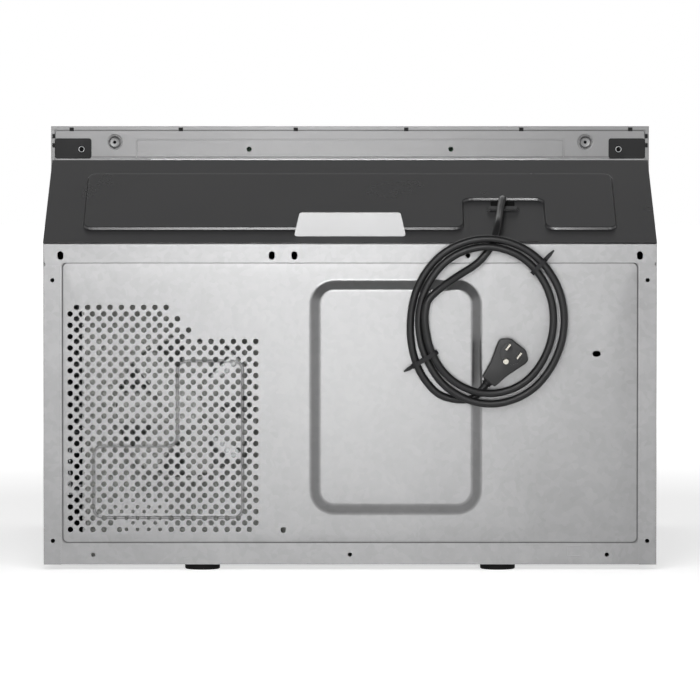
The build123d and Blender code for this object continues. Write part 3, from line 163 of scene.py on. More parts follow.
looks = {
    "galvanised": {"color": (0.25, 0.25, 0.252), "metallic": 0.8, "rough": 0.33, "roughSpread": 0.03,
                   "spangle": 0.2, "spangleScale": 200.0, "spread": 0.12, "bump": 0.10, "grainScale": 260.0,
                   "paintedShadeLevel": 0.45},
    "darkSheet": {"color": (0.015, 0.015, 0.016), "metallic": 0.0, "rough": 0.28, "roughSpread": 0.01,
                  "specular": 0.9, "spread": 0.02, "bump": 0.04, "grainScale": 250.0, "bumpDepth": 0.0001},
    "blackSheet": {"color": (0.010, 0.010, 0.011), "rough": 0.5, "specular": 0.3, "bump": 0.15,
                   "grainScale": 900.0, "bumpDepth": 0.0001},
    "frameGrey": {"color": (0.195, 0.195, 0.196), "metallic": 0.75, "rough": 0.38, "roughSpread": 0.03,
                  "spangle": 0.12, "spangleScale": 150.0, "spread": 0.05, "bump": 0.08, "paintedShadeLevel": 0.5},
    "stainless": {"color": (0.60, 0.60, 0.595), "metallic": 1.0, "rough": 0.30, "stretch": (2.0, 40.0, 260.0),
                  "spread": 0.05, "roughSpread": 0.05, "bump": 0.1, "grainStretch": (1.0, 60.0, 60.0),
                  "grainScale": 120.0, "bumpDepth": 0.0001},
    "zinc": {"color": (0.66, 0.67, 0.68), "metallic": 0.9, "rough": 0.32, "spread": 0.05, "bump": 0.08},
    "brightPlate": {"color": (0.33, 0.33, 0.332), "metallic": 0.6, "rough": 0.42, "spread": 0.03,
                    "bump": 0.08},
    "slideSteel": {"color": (0.55, 0.56, 0.57), "metallic": 0.95, "rough": 0.3, "spread": 0.05, "bump": 0.06},
    "blackGlass": {"color": (0.006, 0.006, 0.007), "rough": 0.06, "roughSpread": 0.01, "coat": 0.6,
                   "spread": 0.1},
    "tintedGlass": {"color": (0.03, 0.03, 0.032), "rough": 0.06, "roughSpread": 0.01, "coat": 0.6,
                    "spread": 0.1},
    "clearPane": {"color": (0.92, 0.94, 0.94), "rough": 0.04, "roughSpread": 0.01, "clear": 0.95,
                  "spread": 0.01},
    "enamel": {"color": (0.62, 0.63, 0.63), "rough": 0.28, "spread": 0.03, "bump": 0.1, "grainScale": 500.0},
    "tubPlastic": {"color": (0.62, 0.62, 0.60), "rough": 0.42, "spread": 0.02, "bump": 0.12,
                   "grainScale": 700.0},
    "ceramic": {"color": (0.74, 0.71, 0.65), "rough": 0.15, "spread": 0.04, "coat": 0.3, "driftScale": 60.0},
    "rubber": {"color": (0.006, 0.006, 0.006), "rough": 0.75, "specular": 0.15, "bump": 0.2,
               "grainScale": 900.0},
    "cordJacket": {"color": (0.008, 0.008, 0.0085), "rough": 0.38, "specular": 0.32, "bump": 0.1,
                   "grainScale": 1200.0, "bumpDepth": 0.0001},
    "plugPlastic": {"color": (0.010, 0.010, 0.0105), "rough": 0.42, "specular": 0.4, "bump": 0.1,
                    "grainScale": 900.0},
    "blackPlastic": {"color": (0.008, 0.008, 0.009), "rough": 0.55, "specular": 0.25, "bump": 0.15,
                     "grainScale": 900.0},
    "whitePlastic": {"color": (0.72, 0.72, 0.70), "rough": 0.45, "bump": 0.1, "spread": 0.03},
    "mica": {"color": (0.60, 0.55, 0.44), "rough": 0.35, "spread": 0.10, "driftScale": 50.0, "bump": 0.2},
    "nickel": {"color": (0.27, 0.26, 0.23), "metallic": 1.0, "rough": 0.3, "spread": 0.05},
    "boardGreen": {"color": (0.03, 0.15, 0.06), "rough": 0.4, "spread": 0.15, "driftScale": 90.0},
    "aluminium": {"color": (0.70, 0.71, 0.72), "metallic": 1.0, "rough": 0.35, "spread": 0.05, "bump": 0.08},
    "coreSteel": {"color": (0.10, 0.10, 0.11), "metallic": 0.6, "rough": 0.5, "stretch": (1.0, 1.0, 40.0),
                  "spread": 0.2, "bump": 0.2},
    "nylon": {"color": (0.76, 0.75, 0.70), "rough": 0.4, "spread": 0.03, "bump": 0.1},
}
finishes = {name: surface(name, look) for name, look in looks.items()}
print("materials made:", len(finishes))

nodeFinish = {
    "galvanised": ["base_pan", "rear_panel", "rear_top_bar", "side_panel_left", "side_panel_right",
                   "top_cover",
                   "waveguide", "choke_cover"],
    "darkSheet": ["rear_slope_cover", "cord_cover"],
    "blackSheet": ["cabinet_brackets", "window_screen"],
    "frameGrey": ["fascia_frame", "door_inner_frame", "fascia_trim"],
    "stainless": ["drawer_front_panel"],
    "zinc": ["magnetron", "high_voltage_capacitor", "rail_spacers", "drawer_arms", "shaft_stands",
             "drive_shaft"],
    "brightPlate": ["anti_tip_plate"],
    "slideSteel": ["outer_rails", "middle_rails", "inner_rails"],
    "blackGlass": ["control_glass"],
    "tintedGlass": ["window_glass"],
    "clearPane": ["inner_window"],
    "enamel": ["oven_cavity"],
    "tubPlastic": ["drawer_tub", "fan_duct"],
    "ceramic": ["ceramic_base"],
    "rubber": ["rubber_feet", "cord_strain_relief"],
    "cordJacket": ["power_cord", "cord_coil", "plug_lead"],
    "plugPlastic": ["power_plug"],
    "blackPlastic": ["twist_ties", "fascia_clips", "control_housing", "interlock_switches",
                     "thermal_cutouts"],
    "whitePlastic": ["fan_wheel", "cavity_lamp", "switch_plungers"],
    "mica": ["stirrer_cover"],
    "nickel": ["plug_blades"],
    "boardGreen": ["control_board", "noise_filter"],
    "aluminium": ["stirrer_blades", "stirrer_motor", "drive_motor", "fan_motor"],
    "coreSteel": ["high_voltage_transformer"],
    "nylon": ["gear_racks", "drive_pinions", "drive_gear", "motor_gear"],
}
for finishName, names in nodeFinish.items():
    for name in names:
        mesh = nodes[name].data
        mesh.materials.clear()
        mesh.materials.append(finishes[finishName])
print("CAD nodes dressed")


# shared shapes

def roundedLoop(left, right, low, high, corner, steps=7, inset=0.0):
    # points of a rounded rectangle: centre of each corner plus radius times (cos a, sin a), drawn in by inset
    radius = max(corner - inset, 0.05)
    turn = np.linspace(0.0, math.pi / 2, steps)
    spots = [(right - corner, high - corner, 0.0), (left + corner, high - corner, math.pi / 2),
             (left + corner, low + corner, math.pi), (right - corner, low + corner, 1.5 * math.pi)]
    return np.vstack([np.column_stack([x + radius * np.cos(turn + start), z + radius * np.sin(turn + start)])
                      for x, z, start in spots])


def roundCorners(points, radii, steps=6):
    # each corner of a closed outline becomes a tangent arc, drawn as a quadratic blend of its two legs
    points = np.array(points, float)
    before, after = np.roll(points, 1, axis=0), np.roll(points, -1, axis=0)
    share = np.linspace(0.0, 1.0, steps)[:, None]
    rows = []
    for corner, a, b, radius in zip(points, before, after, np.broadcast_to(radii, len(points))):
        start = corner + (a - corner) / np.linalg.norm(a - corner) * radius
        end = corner + (b - corner) / np.linalg.norm(b - corner) * radius
        rows.append((1 - share) ** 2 * start + 2 * share * (1 - share) * corner + share ** 2 * end)
    return np.vstack(rows)


def shiftLoop(loop, amount):
    # a closed line moved sideways along the mean normal of its two neighbours
    along = np.roll(loop, -1, axis=0) - np.roll(loop, 1, axis=0)
    along /= np.linalg.norm(along, axis=1)[:, None]
    return loop + np.column_stack([along[:, 1], -along[:, 0]]) * amount


def insideLoop(points, loop):
    # even-odd rule for many points at once
    x, z = points[:, 0][:, None], points[:, 1][:, None]
    ax, az = loop[:, 0], loop[:, 1]
    bx, bz = np.roll(ax, -1), np.roll(az, -1)
    spans = (az > z) != (bz > z)
    crossing = (bx - ax) * (z - az) / np.where(bz == az, 1e-9, bz - az) + ax
    return np.sum(spans & (x < crossing), axis=1) % 2 == 1


def distanceToLoop(points, loop):
    # least distance from each point to any side of a closed line
    a, b = loop, np.roll(loop, -1, axis=0)
    run = b - a
    size = np.maximum(np.sum(run ** 2, axis=1), 1e-12)
    best = np.full(len(points), 1e9)
    for start in range(0, len(points), 4000):
        part = points[start:start + 4000, None, :]
        share = np.clip(np.sum((part - a) * run, axis=2) / size, 0.0, 1.0)
        gap = np.linalg.norm(part - (a + share[..., None] * run), axis=2)
        best[start:start + 4000] = gap.min(axis=1)
    return best


def pressProfile(distance, width, height, bend):
    # rise of a pressed wall: an arc, a straight flank and an arc back to level, by distance inward
    low, high = 0.01, 1.4
    for _ in range(40):
        angle = (low + high) / 2
        flank = (width - 2 * bend * math.sin(angle)) / math.cos(angle)
        rise = 2 * bend * (1 - math.cos(angle)) + max(flank, 0.0) * math.sin(angle)
        low, high = (angle, high) if rise < height else (low, angle)
    arc = bend * math.sin(angle)
    d = np.clip(distance, 0.0, width)
    foot = bend - np.sqrt(np.maximum(bend ** 2 - np.minimum(d, arc) ** 2, 0.0))
    flank = np.clip(d - arc, 0.0, width - 2 * arc) * math.tan(angle)
    top = np.maximum(d - (width - arc), 0.0)
    crown = np.sqrt(np.maximum(bend ** 2 - (arc - top) ** 2, 0.0)) - bend * math.cos(angle)
    crown = np.where(top > 0, crown, 0.0)
    total = bend * (1 - math.cos(angle)) * 2 + (width - 2 * arc) * math.tan(angle)
    return (foot + flank + crown) * height / total


def fixNormals(mesh):
    work = bmesh.new()
    work.from_mesh(mesh)
    bmesh.ops.recalc_face_normals(work, faces=work.faces)
    work.to_mesh(mesh)
    work.free()


def smoothByAngle(mesh, degrees):
    # sharp edges where the two faces meet at more than the angle, smooth elsewhere
    mesh.polygons.foreach_set("use_smooth", np.ones(len(mesh.polygons), bool))
    mesh.set_sharp_from_angle(angle=math.radians(degrees))


def linkMesh(name, mesh, finish, bodyName, replaced):
    piece = bpy.data.objects.new(name, mesh)
    bpy.context.scene.collection.objects.link(piece)
    mesh.materials.append(finishes[finish])
    if replaced:
        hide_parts(*replaced)
    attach(piece, bodyName)
    return piece


def pressedSheet(look, outline, circles, loops, lines, heightOf, place, normalOf, shadeOf=None):
    # a flat pattern cut into triangles, each point then raised to heightOf(x, z)
    # the back face lies one sheet behind, and walls close every rim
    points, edges = [outline], [(i, (i + 1) % len(outline)) for i in range(len(outline))]
    total = len(outline)
    turn = np.linspace(0.0, 2 * math.pi, look["holeSides"], endpoint=False)
    ring = np.column_stack([np.cos(turn), np.sin(turn)])
    closed = list(loops) + list(lines) + [np.array([x, z]) + radius * ring for x, z, radius in circles]
    for loop in closed:
        points.append(loop)
        edges += [(total + i, total + (i + 1) % len(loop)) for i in range(len(loop))]
        total += len(loop)
    flat = [Vector(point) for point in np.vstack(points)]
    cut = delaunay_2d_cdt(flat, edges, [], 0, 1e-5)
    spots = np.array([tuple(point) for point in cut[0]])
    triangles = np.array([tuple(face) for face in cut[2]])
    middle = spots[triangles].mean(axis=1)
    keep = insideLoop(middle, outline)
    for loop in loops:
        keep &= ~insideLoop(middle, loop)
    if len(circles):
        holes = np.array(circles)
        for start in range(0, len(middle), 4000):
            gap = np.linalg.norm(middle[start:start + 4000, None, :] - holes[None, :, :2], axis=2)
            keep[start:start + 4000] &= ~np.any(gap < holes[:, 2], axis=1)
    triangles = triangles[keep]
    used = np.unique(triangles)
    renumber = np.zeros(len(spots), int)
    renumber[used] = np.arange(len(used))
    spots, triangles = spots[used], renumber[triangles]
    a, b, c = (spots[triangles[:, i]] for i in range(3))
    turned = (b[:, 0] - a[:, 0]) * (c[:, 1] - a[:, 1]) - (b[:, 1] - a[:, 1]) * (c[:, 0] - a[:, 0]) > 0
    triangles[turned] = triangles[turned][:, ::-1]
    if look["seenFromPlus"] is False:
        triangles = triangles[:, ::-1]
    height = heightOf(spots)
    small = 0.05
    slopeX = (heightOf(spots + [small, 0]) - heightOf(spots - [small, 0])) / (2 * small)
    slopeZ = (heightOf(spots + [0, small]) - heightOf(spots - [0, small])) / (2 * small)
    normals = normalOf(spots, slopeX, slopeZ)
    front = place(spots, height)
    back = place(spots, height - look["sheet"])
    sides = np.sort(triangles[:, [0, 1, 1, 2, 2, 0]].reshape(-1, 2), axis=1)
    directed = triangles[:, [0, 1, 1, 2, 2, 0]].reshape(-1, 2)
    _, inverse, count = np.unique(sides, axis=0, return_inverse=True, return_counts=True)
    rim = directed[count[inverse.ravel()] == 1]
    n = len(spots)
    walls = np.column_stack([rim[:, 1], rim[:, 0], rim[:, 0] + n, rim[:, 1] + n])
    mesh = bpy.data.meshes.new(look["name"])
    faces = triangles.tolist() + (triangles[:, ::-1] + n).tolist() + walls.tolist()
    mesh.from_pydata((np.vstack([front, back]) * mm).tolist(), [], faces)
    corner = np.vstack([front, back])
    along, across = corner[walls[:, 1]] - corner[walls[:, 0]], corner[walls[:, 2]] - corner[walls[:, 0]]
    wallNormals = np.cross(along, across)
    wallNormals /= np.maximum(np.linalg.norm(wallNormals, axis=1), 1e-12)[:, None]
    loopNormals = np.vstack([normals[triangles.ravel()], -normals[triangles[:, ::-1].ravel()],
                             np.repeat(wallNormals, 4, axis=0)])
    mesh.polygons.foreach_set("use_smooth", np.ones(len(faces), bool))
    mesh.normals_split_custom_set(loopNormals.tolist())
    # painted shade: this point attribute darkens the colour of the materials that read it
    shade = shadeOf(spots) if shadeOf else np.zeros(n)
    layer = mesh.attributes.new("paintedShade", "FLOAT", "POINT")
    layer.data.foreach_set("value", np.concatenate([shade, shade]).astype(np.float32))
    mesh.update()
    return mesh


# rear panel: one galvanised sheet with a raised field, vents, an L-shaped bead and a large raised rectangle

rearPanel = {
    "name": "rearPanelSheet", "sheet": 0.8, "holeSides": 14, "seenFromPlus": True,
    "outline": (-277.9, 277.9, 5.5, 281.6),
    "field": (-261.05, 261.05, 26.1, 279.6), "fieldCorner": 4.0, "step": 0.8, "stepWidth": 1.3,
    "rib": (-120.8, 37.5, 50.2, 265.8), "ribCorner": 23.5, "ribWall": 11.3, "ribHeight": 8.0, "ribBend": 4.0,
    "bead": [(233.5, 48.4), (97.8, 48.4), (97.8, 190.9), (157.2, 190.9), (157.2, 113.5), (233.5, 113.5)],
    "beadCorner": 9.0, "beadHalf": 1.7, "beadHeight": 1.2,
    "tag": (-211.0, -198.0, 13.0, 22.0), "tagHalf": 0.5, "tagHeight": 0.3,
    "vents": {"left": 249.0, "top": 239.8, "pitchX": 10.2, "pitchZ": 10.35, "shiftX": 5.9, "shiftZ": 6.0,
              "rows": 20, "columns": 17, "radius": 2.55, "fineRadius": 1.75},
    "holes": [(210.24, 36.94, 2.35), (60.7, 36.7, 2.7), (-234.3, 14.1, 1.95), (0.0, 14.1, 1.95),
              (234.3, 14.1, 1.95), (271.0, 264.5, 1.95), (-271.0, 264.5, 1.95), (271.0, 26.7, 1.95),
              (-271.0, 26.7, 1.95)],
    "grooveShade": 0.9, "grooveEdges": (0.2, 0.7, 2.4, 3.0),
    "slot": (-228.35, -220.85, 194.85, 200.15),
    "ribSteps": (0.0, 0.5, 1.1, 1.7, 2.3, 2.83, 5.65, 8.47, 9.0, 9.6, 10.2, 10.8, 11.3),
    "beadSteps": (-2.4, -1.7, -1.1, -0.5, 0.0, 0.5, 1.1, 1.7, 2.4),
    "tagSteps": (-1.4, -0.8, -0.5, 0.0, 0.5, 0.8, 1.4),
}


def ventSpots(look):
    # two interleaved grids, the second half a step over and down; the upper rows are shorter
    spots = []
    for row in range(look["rows"]):
        count = min(9 + row, 11) if row < 3 else look["columns"]
        for column in range(count):
            for shift in (0, 1):
                if row == look["rows"] - 1 and column == 4:
                    continue
                fine = row >= 17 and 4 <= column <= 8
                spots.append((look["left"] - column * look["pitchX"] + shift * look["shiftX"],
                              look["top"] - row * look["pitchZ"] - shift * look["shiftZ"],
                              look["fineRadius"] if fine else look["radius"]))
    return spots


def addRearPanel(look):
    field = roundedLoop(*look["field"], look["fieldCorner"])
    bead = roundCorners(look["bead"], look["beadCorner"])
    tag = roundCorners([(look["tag"][0], look["tag"][2]), (look["tag"][0], look["tag"][3]),
                        (look["tag"][1], look["tag"][3]), (look["tag"][1], look["tag"][2])], 0.6, 3)
    ribLoops = [roundedLoop(*(look["rib"][0] + d, look["rib"][1] - d, look["rib"][2] + d, look["rib"][3] - d),
                            look["ribCorner"] - d, steps=12)
                for d in look["ribSteps"]]
    rib = ribLoops[0]

    def heightOf(points):
        outward = np.where(insideLoop(points, field), 0.0, distanceToLoop(points, field))
        share = np.clip(outward / look["stepWidth"], 0.0, 1.0)
        height = -look["step"] * share ** 2 * (3 - 2 * share)
        inward = np.where(insideLoop(points, rib), distanceToLoop(points, rib), 0.0)
        height = height + pressProfile(inward, look["ribWall"], look["ribHeight"], look["ribBend"])
        ridge = np.clip(1 - distanceToLoop(points, bead) / look["beadHalf"], 0.0, 1.0)
        height = height + look["beadHeight"] * ridge ** 2 * (3 - 2 * ridge)
        line = np.clip(1 - distanceToLoop(points, tag) / look["tagHalf"], 0.0, 1.0)
        return height + look["tagHeight"] * line ** 2 * (3 - 2 * line)

    def place(points, height):
        return np.column_stack([points[:, 0], body["rearY"] + height, points[:, 1]])

    def normalOf(points, slopeX, slopeZ):
        normal = np.column_stack([-slopeX, np.ones(len(points)), -slopeZ])
        return normal / np.linalg.norm(normal, axis=1)[:, None]

    lines = ribLoops + [shiftLoop(bead, a) for a in look["beadSteps"]]
    lines += [shiftLoop(tag, a) for a in look["tagSteps"]]
    x0, x1, z0, z1 = look["field"]
    top = look["outline"][3] - 0.1
    lines += [roundedLoop(x0 - d, x1 + d, z0 - d, min(z1 + d, top), look["fieldCorner"] + d)
              for d in (0.0, 0.2, 0.5, 0.8, 1.3)]
    lines += [np.array([(x0 - d, look["outline"][3] - 0.05), (x0 - d, z0 - d), (x1 + d, z0 - d),
                        (x1 + d, look["outline"][3] - 0.05)]) for d in (2.0, 2.7)]
    x0, x1, z0, z1 = look["outline"]
    outline = np.array([(x0, z0), (x1, z0), (x1, z1), (x0, z1)], float)
    slot = roundedLoop(*look["slot"], 2.6)
    circles = ventSpots(look["vents"]) + look["holes"]

    def shadeOf(points):
        # painted shadow: the colour darkens in the groove round the field
        outward = np.where(insideLoop(points, field), 0.0, distanceToLoop(points, field))
        return look["grooveShade"] * np.interp(outward, look["grooveEdges"], (0.0, 1.0, 1.0, 0.0))

    mesh = pressedSheet(look, outline, circles, [slot], lines, heightOf, place, normalOf, shadeOf)
    piece = linkMesh(look["name"], mesh, "galvanised", "chassis", ["rear_panel"])
    print("rear panel pressed:", len(mesh.polygons), "faces")
    return piece


addRearPanel(rearPanel)


# sloped cover: a painted sheet with a raised field that leaves a bay round the cord's exit

slopeCover = {
    "name": "slopeCoverSheet", "sheet": 0.8, "holeSides": 14, "seenFromPlus": True,
    "field": (-243.8, 243.8, 26.0, 140.0), "bay": (-179.0, -104.0, 87.5), "corner": 9.0, "bayCorner": 11.0,
    "width": 2.7, "height": 2.5, "bend": 1.1, "flatRing": 0.4, "fold": 0.8,
    "exit": (-152.0, -129.8, 75.0, 85.5),
}


def addSlopeCover(look):
    run = math.hypot(body["slopeDepth"], body["slopeRise"])
    c, k = body["slopeDepth"] / run, body["slopeRise"] / run
    x0, x1, v0, v1 = look["field"]
    left, right, deep = look["bay"]
    corners = [(x1, v0), (x1, v1), (x0, v1), (x0, v0), (left, v0), (left, deep), (right, deep), (right, v0)]
    radii = [look["corner"]] * 4 + [look["bayCorner"]] * 4
    field = roundCorners(corners, radii, 8)

    def heightOf(points):
        gap = distanceToLoop(points, field)
        inward = np.where(insideLoop(points, field), gap, -gap) + look["width"] / 2
        return pressProfile(inward, look["width"], look["height"], look["bend"])

    def place(points, height):
        v = points[:, 1]
        up = np.maximum(v, 0.0)
        down = np.minimum(v, 0.0)
        fold = v < 0
        y = body["rearY"] - up * c + np.where(fold, 0.0, k * height) + np.where(fold, height, 0.0)
        z = body["rearTopZ"] + up * k + down + np.where(fold, 0.0, c * height)
        return np.column_stack([points[:, 0], y, z])

    def normalOf(points, slopeX, slopeV):
        fold = points[:, 1] < 0
        x = -slopeX
        y = np.where(fold, 1.0, k + slopeV * c)
        z = np.where(fold, 0.0, c - slopeV * k)
        normal = np.column_stack([x, y, z])
        return normal / np.linalg.norm(normal, axis=1)[:, None]

    lines = [shiftLoop(field, a) for a in np.linspace(-look["width"] / 2, look["width"] / 2, 9)]
    lines += [shiftLoop(field, side * (look["width"] / 2 + look["flatRing"])) for side in (-1, 1)]
    lines.append(np.array([(-body["sideX"] + 0.01, 0.0), (body["sideX"] - 0.01, 0.0)]))
    half, fold = body["sideX"], -look["fold"]
    outline = np.array([(-half, fold), (half, fold), (half, run), (-half, run)])
    hole = roundedLoop(*look["exit"], 1.0, 4)
    mesh = pressedSheet(look, outline, [], [hole], lines, heightOf, place, normalOf)
    linkMesh(look["name"], mesh, "darkSheet", "chassis", ["rear_slope_cover"])
    print("sloped cover pressed:", len(mesh.polygons), "faces")


addSlopeCover(slopeCover)


# face of the front frame above the body: a pressed rectangle, two dished holes and two plain ones

frameFace = {
    "name": "frameFaceSheet", "sheet": 0.2, "holeSides": 24, "seenFromPlus": True, "lift": 0.25,
    "outline": (-298.7, 298.7, 375.0, 402.2), "corner": 2.2, "edgeShade": (0.5, 1.1),
    "raised": (-217.0, 217.0, 360.0, 393.7), "raisedHeight": 1.2, "raisedWall": 1.5,
    "dishes": [(238.4, 390.2), (-238.4, 390.2)],
    "dishRings": [(0.0, -0.9), (4.5, -0.9), (4.9, -0.8), (5.6, 0.3), (6.0, 0.4), (6.4, 0.3), (7.0, -0.5),
                  (7.6, -0.1),
                  (7.9, 0.0), (8.4, 0.0)],
    "holes": [(102.2, 383.1, 2.55), (-102.2, 383.1, 2.55), (238.4, 390.2, 1.6), (-238.4, 390.2, 1.6)],
}


def addFrameFace(look):
    x0, x1, z0, z1 = look["outline"]
    outline = roundedLoop(x0, x1, z0, z1, look["corner"])
    a, b, low, high = look["raised"]
    wall = look["raisedWall"]
    reach, rise = zip(*look["dishRings"])

    def heightOf(points):
        inward = np.minimum(np.minimum(points[:, 0] - a, b - points[:, 0]), high - points[:, 1])
        share = np.clip(inward / wall, 0.0, 1.0)
        height = look["lift"] + look["raisedHeight"] * share ** 2 * (3 - 2 * share)
        for x, z in look["dishes"]:
            away = np.hypot(points[:, 0] - x, points[:, 1] - z)
            height = height + np.interp(away, reach, rise, right=0.0)
        return height

    def place(points, height):
        return np.column_stack([points[:, 0], body["frontFlangeY"] + height, points[:, 1]])

    def normalOf(points, slopeX, slopeZ):
        normal = np.column_stack([-slopeX, np.ones(len(points)), -slopeZ])
        return normal / np.linalg.norm(normal, axis=1)[:, None]

    def shadeOf(points):
        # painted shade: the colour darkens in a line along the outline, where it meets the trim, and along
        # the wall of the raised rectangle
        gap = distanceToLoop(points, outline)
        shade = np.interp(gap, look["edgeShade"], (1.0, 0.0))
        step = np.minimum(np.minimum(points[:, 0] - a, b - points[:, 0]), high - points[:, 1])
        return np.maximum(shade, np.interp(step, (-0.4, 0.0, 0.8, 1.2), (0.0, 0.95, 0.95, 0.0)))

    lines = [roundedLoop(x0 + d, x1 - d, z0 + d, z1 - d, max(look["corner"] - d, 0.4)) for d in (0.5, 1.1)]
    for d in (-0.4, 0.0, 0.4, 0.8, 1.2, wall, wall + 0.4):
        lines.append(np.array([(a + d, z0 + 0.02), (a + d, high - d), (b - d, high - d), (b - d, z0 + 0.02)]))
    turn = np.linspace(0.0, 2 * math.pi, 40, endpoint=False)
    ring = np.column_stack([np.cos(turn), np.sin(turn)])
    for spot in look["dishes"]:
        lines += [np.array(spot) + radius * ring for radius, rise in look["dishRings"][1:]]
    mesh = pressedSheet(look, outline, look["holes"], [], lines, heightOf, place, normalOf, shadeOf)
    linkMesh(look["name"], mesh, "frameGrey", "chassis", [])
    print("frame face pressed:", len(mesh.polygons), "faces")


addFrameFace(frameFace)


# bare eyelets in the two brackets

eyelet = {"name": "bracketEyelets", "places": [(272.0, 383.1), (-272.0, 383.1)], "y": -261.35,
          "outer": 3.0, "inner": 2.4, "rise": 0.25, "sides": 36, "wellDepth": 0.9}


def addEyelets(look):
    # a ring of half-round section: radius and height follow one half turn of the section
    turn = np.linspace(0.0, 2 * math.pi, look["sides"], endpoint=False)
    section = np.linspace(0.0, math.pi, 7)
    middle, half = (look["outer"] + look["inner"]) / 2, (look["outer"] - look["inner"]) / 2
    vertices, faces = [], []
    for x, z in look["places"]:
        base = len(vertices)
        for angle in section:
            radius = middle + half * math.cos(angle)
            depth = look["y"] + look["rise"] * math.sin(angle)
            vertices += [(x + radius * math.cos(t), depth, z + radius * math.sin(t)) for t in turn]
        count = len(turn)
        for row in range(len(section)):
            a, b = base + row * count, base + (row + 1) % len(section) * count
            faces += [(a + i, a + (i + 1) % count, b + (i + 1) % count, b + i) for i in range(count)]
    mesh = bpy.data.meshes.new(look["name"])
    mesh.from_pydata((np.array(vertices) * mm).tolist(), [], faces)
    fixNormals(mesh)
    smoothByAngle(mesh, 60)
    linkMesh(look["name"], mesh, "zinc", "chassis", [])
    # painted shadow: black discs sit deep in the screw bores, where the holes show dark
    vertices, faces = [], []
    for x, z in look["places"]:
        base = len(vertices)
        for depth in (look["y"] - look["wellDepth"], look["y"] - look["wellDepth"] + 0.3):
            radius = look["inner"]
            vertices += [(x + radius * math.cos(t), depth, z + radius * math.sin(t)) for t in turn]
        count = len(turn)
        faces += [tuple(base + i for i in range(count)), tuple(base + count + i for i in range(count))]
        faces += [(base + i, base + (i + 1) % count, base + count + (i + 1) % count, base + count + i)
                  for i in range(count)]
    mesh = bpy.data.meshes.new("boreShadowDiscs")
    mesh.from_pydata((np.array(vertices) * mm).tolist(), [], faces)
    fixNormals(mesh)
    linkMesh("boreShadowDiscs", mesh, "rubber", "chassis", [])


addEyelets(eyelet)


# plug: a flat angled head with rounded edges and a ribbed relief behind it

plug = {
    "name": "plugHead", "start": (-123.8, 303.95, 170.4), "axis": (-0.6216, 0.0956, 0.7775),
    "outline": [(-7.2, 3.0), (7.2, 3.0), (9.8, 18.0), (16.0, 37.0), (16.0, 40.5), (9.0, 46.5), (-9.0, 46.5),
                (-16.0, 40.5), (-16.0, 37.0), (-9.8, 18.0)],
    "corner": [1.5, 1.5, 3.0, 1.7, 1.7, 2.6, 2.6, 1.7, 1.7, 3.0], "back": -7.0, "front": 10.0,
    "edges": [(1.3, 0.0), (0.55, 0.2), (0.2, 0.55), (0.0, 1.3)],
    "relief": {"near": 4.6, "far": 6.0, "length": 8.0, "ribs": 2, "groove": 0.7},
    "faceRing": {"across": 0.0, "along": 36.0, "radius": 10.6, "half": 0.55, "rise": 0.5},
}


def addPlug(look):
    start = np.array(look["start"])
    axis = np.array(look["axis"])
    flat = np.array([axis[0], 0.0, axis[2]])
    flat /= np.linalg.norm(flat)
    across = np.cross(flat, [0.0, 1.0, 0.0])
    outline = roundCorners(look["outline"], look["corner"], 6)
    vertices, faces = [], []

    def addRings(rings, closeStart, closeEnd):
        # rings of equal count joined by quads, with a fan at each closed end
        base = len(vertices)
        count = len(rings[0])
        for ring in rings:
            vertices.extend(ring.tolist())
        for row in range(len(rings) - 1):
            for i in range(count):
                j = (i + 1) % count
                a, b = base + row * count, base + (row + 1) * count
                faces.append((a + i, a + j, b + j, b + i))
        if closeStart:
            faces.append(tuple(base + i for i in range(count))[::-1])
        if closeEnd:
            last = base + (len(rings) - 1) * count
            faces.append(tuple(last + i for i in range(count)))

    def onPlane(points, depth):
        return start + points[:, :1] * across + points[:, 1:] * flat + np.array([0.0, depth, 0.0])

    rings = []
    for inset, step in look["edges"]:
        rings.append(onPlane(shiftLoop(outline, -inset), look["back"] + step))
    for inset, step in reversed(look["edges"]):
        rings.append(onPlane(shiftLoop(outline, -inset), look["front"] - step))
    addRings(rings, True, True)
    relief = look["relief"]
    turn = np.linspace(0.0, 2 * math.pi, 28, endpoint=False)
    sideways = np.cross(axis, [0.0, 1.0, 0.0])
    sideways /= np.linalg.norm(sideways)
    upward = np.cross(sideways, axis)
    sleeve = []
    steps = relief["ribs"] * 6 + 1
    for number in range(steps):
        share = number / (steps - 1)
        radius = relief["near"] + (relief["far"] - relief["near"]) * share
        phase = (share * relief["ribs"]) % 1.0
        if 0.15 < phase < 0.6:
            radius -= relief["groove"]
        sleeve.append(start + axis * relief["length"] * share
                      + radius * (np.cos(turn)[:, None] * sideways + np.sin(turn)[:, None] * upward))
    addRings(sleeve, True, True)
    ring = look["faceRing"]
    bow = np.linspace(math.radians(-150), math.radians(150), 60)
    rows = []
    for radius, rise in ((-ring["half"], -0.2), (-ring["half"], ring["rise"]), (ring["half"], ring["rise"]),
                         (ring["half"], -0.2)):
        reach = ring["radius"] + radius
        points = np.column_stack([ring["across"] + reach * np.sin(bow), ring["along"] - reach * np.cos(bow)])
        rows.append(onPlane(points, look["front"] + rise))
    base = len(vertices)
    count = len(bow)
    for row in rows:
        vertices.extend(row.tolist())
    for row in range(4):
        nextRow = (row + 1) % 4
        for i in range(count - 1):
            a, b = base + row * count, base + nextRow * count
            faces.append((a + i, b + i, b + i + 1, a + i + 1))
    faces.append(tuple(base + row * count for row in range(4)))
    faces.append(tuple(base + row * count + count - 1 for row in range(4))[::-1])
    mesh = bpy.data.meshes.new(look["name"])
    mesh.from_pydata((np.array(vertices) * mm).tolist(), [], faces)
    fixNormals(mesh)
    smoothByAngle(mesh, 40)
    return linkMesh(look["name"], mesh, "plugPlastic", "chassis", ["power_plug"])


plugHead = addPlug(plug)
print("plug formed")


# power cord: one line from the strain relief, down the slope, round the coil and into the plug

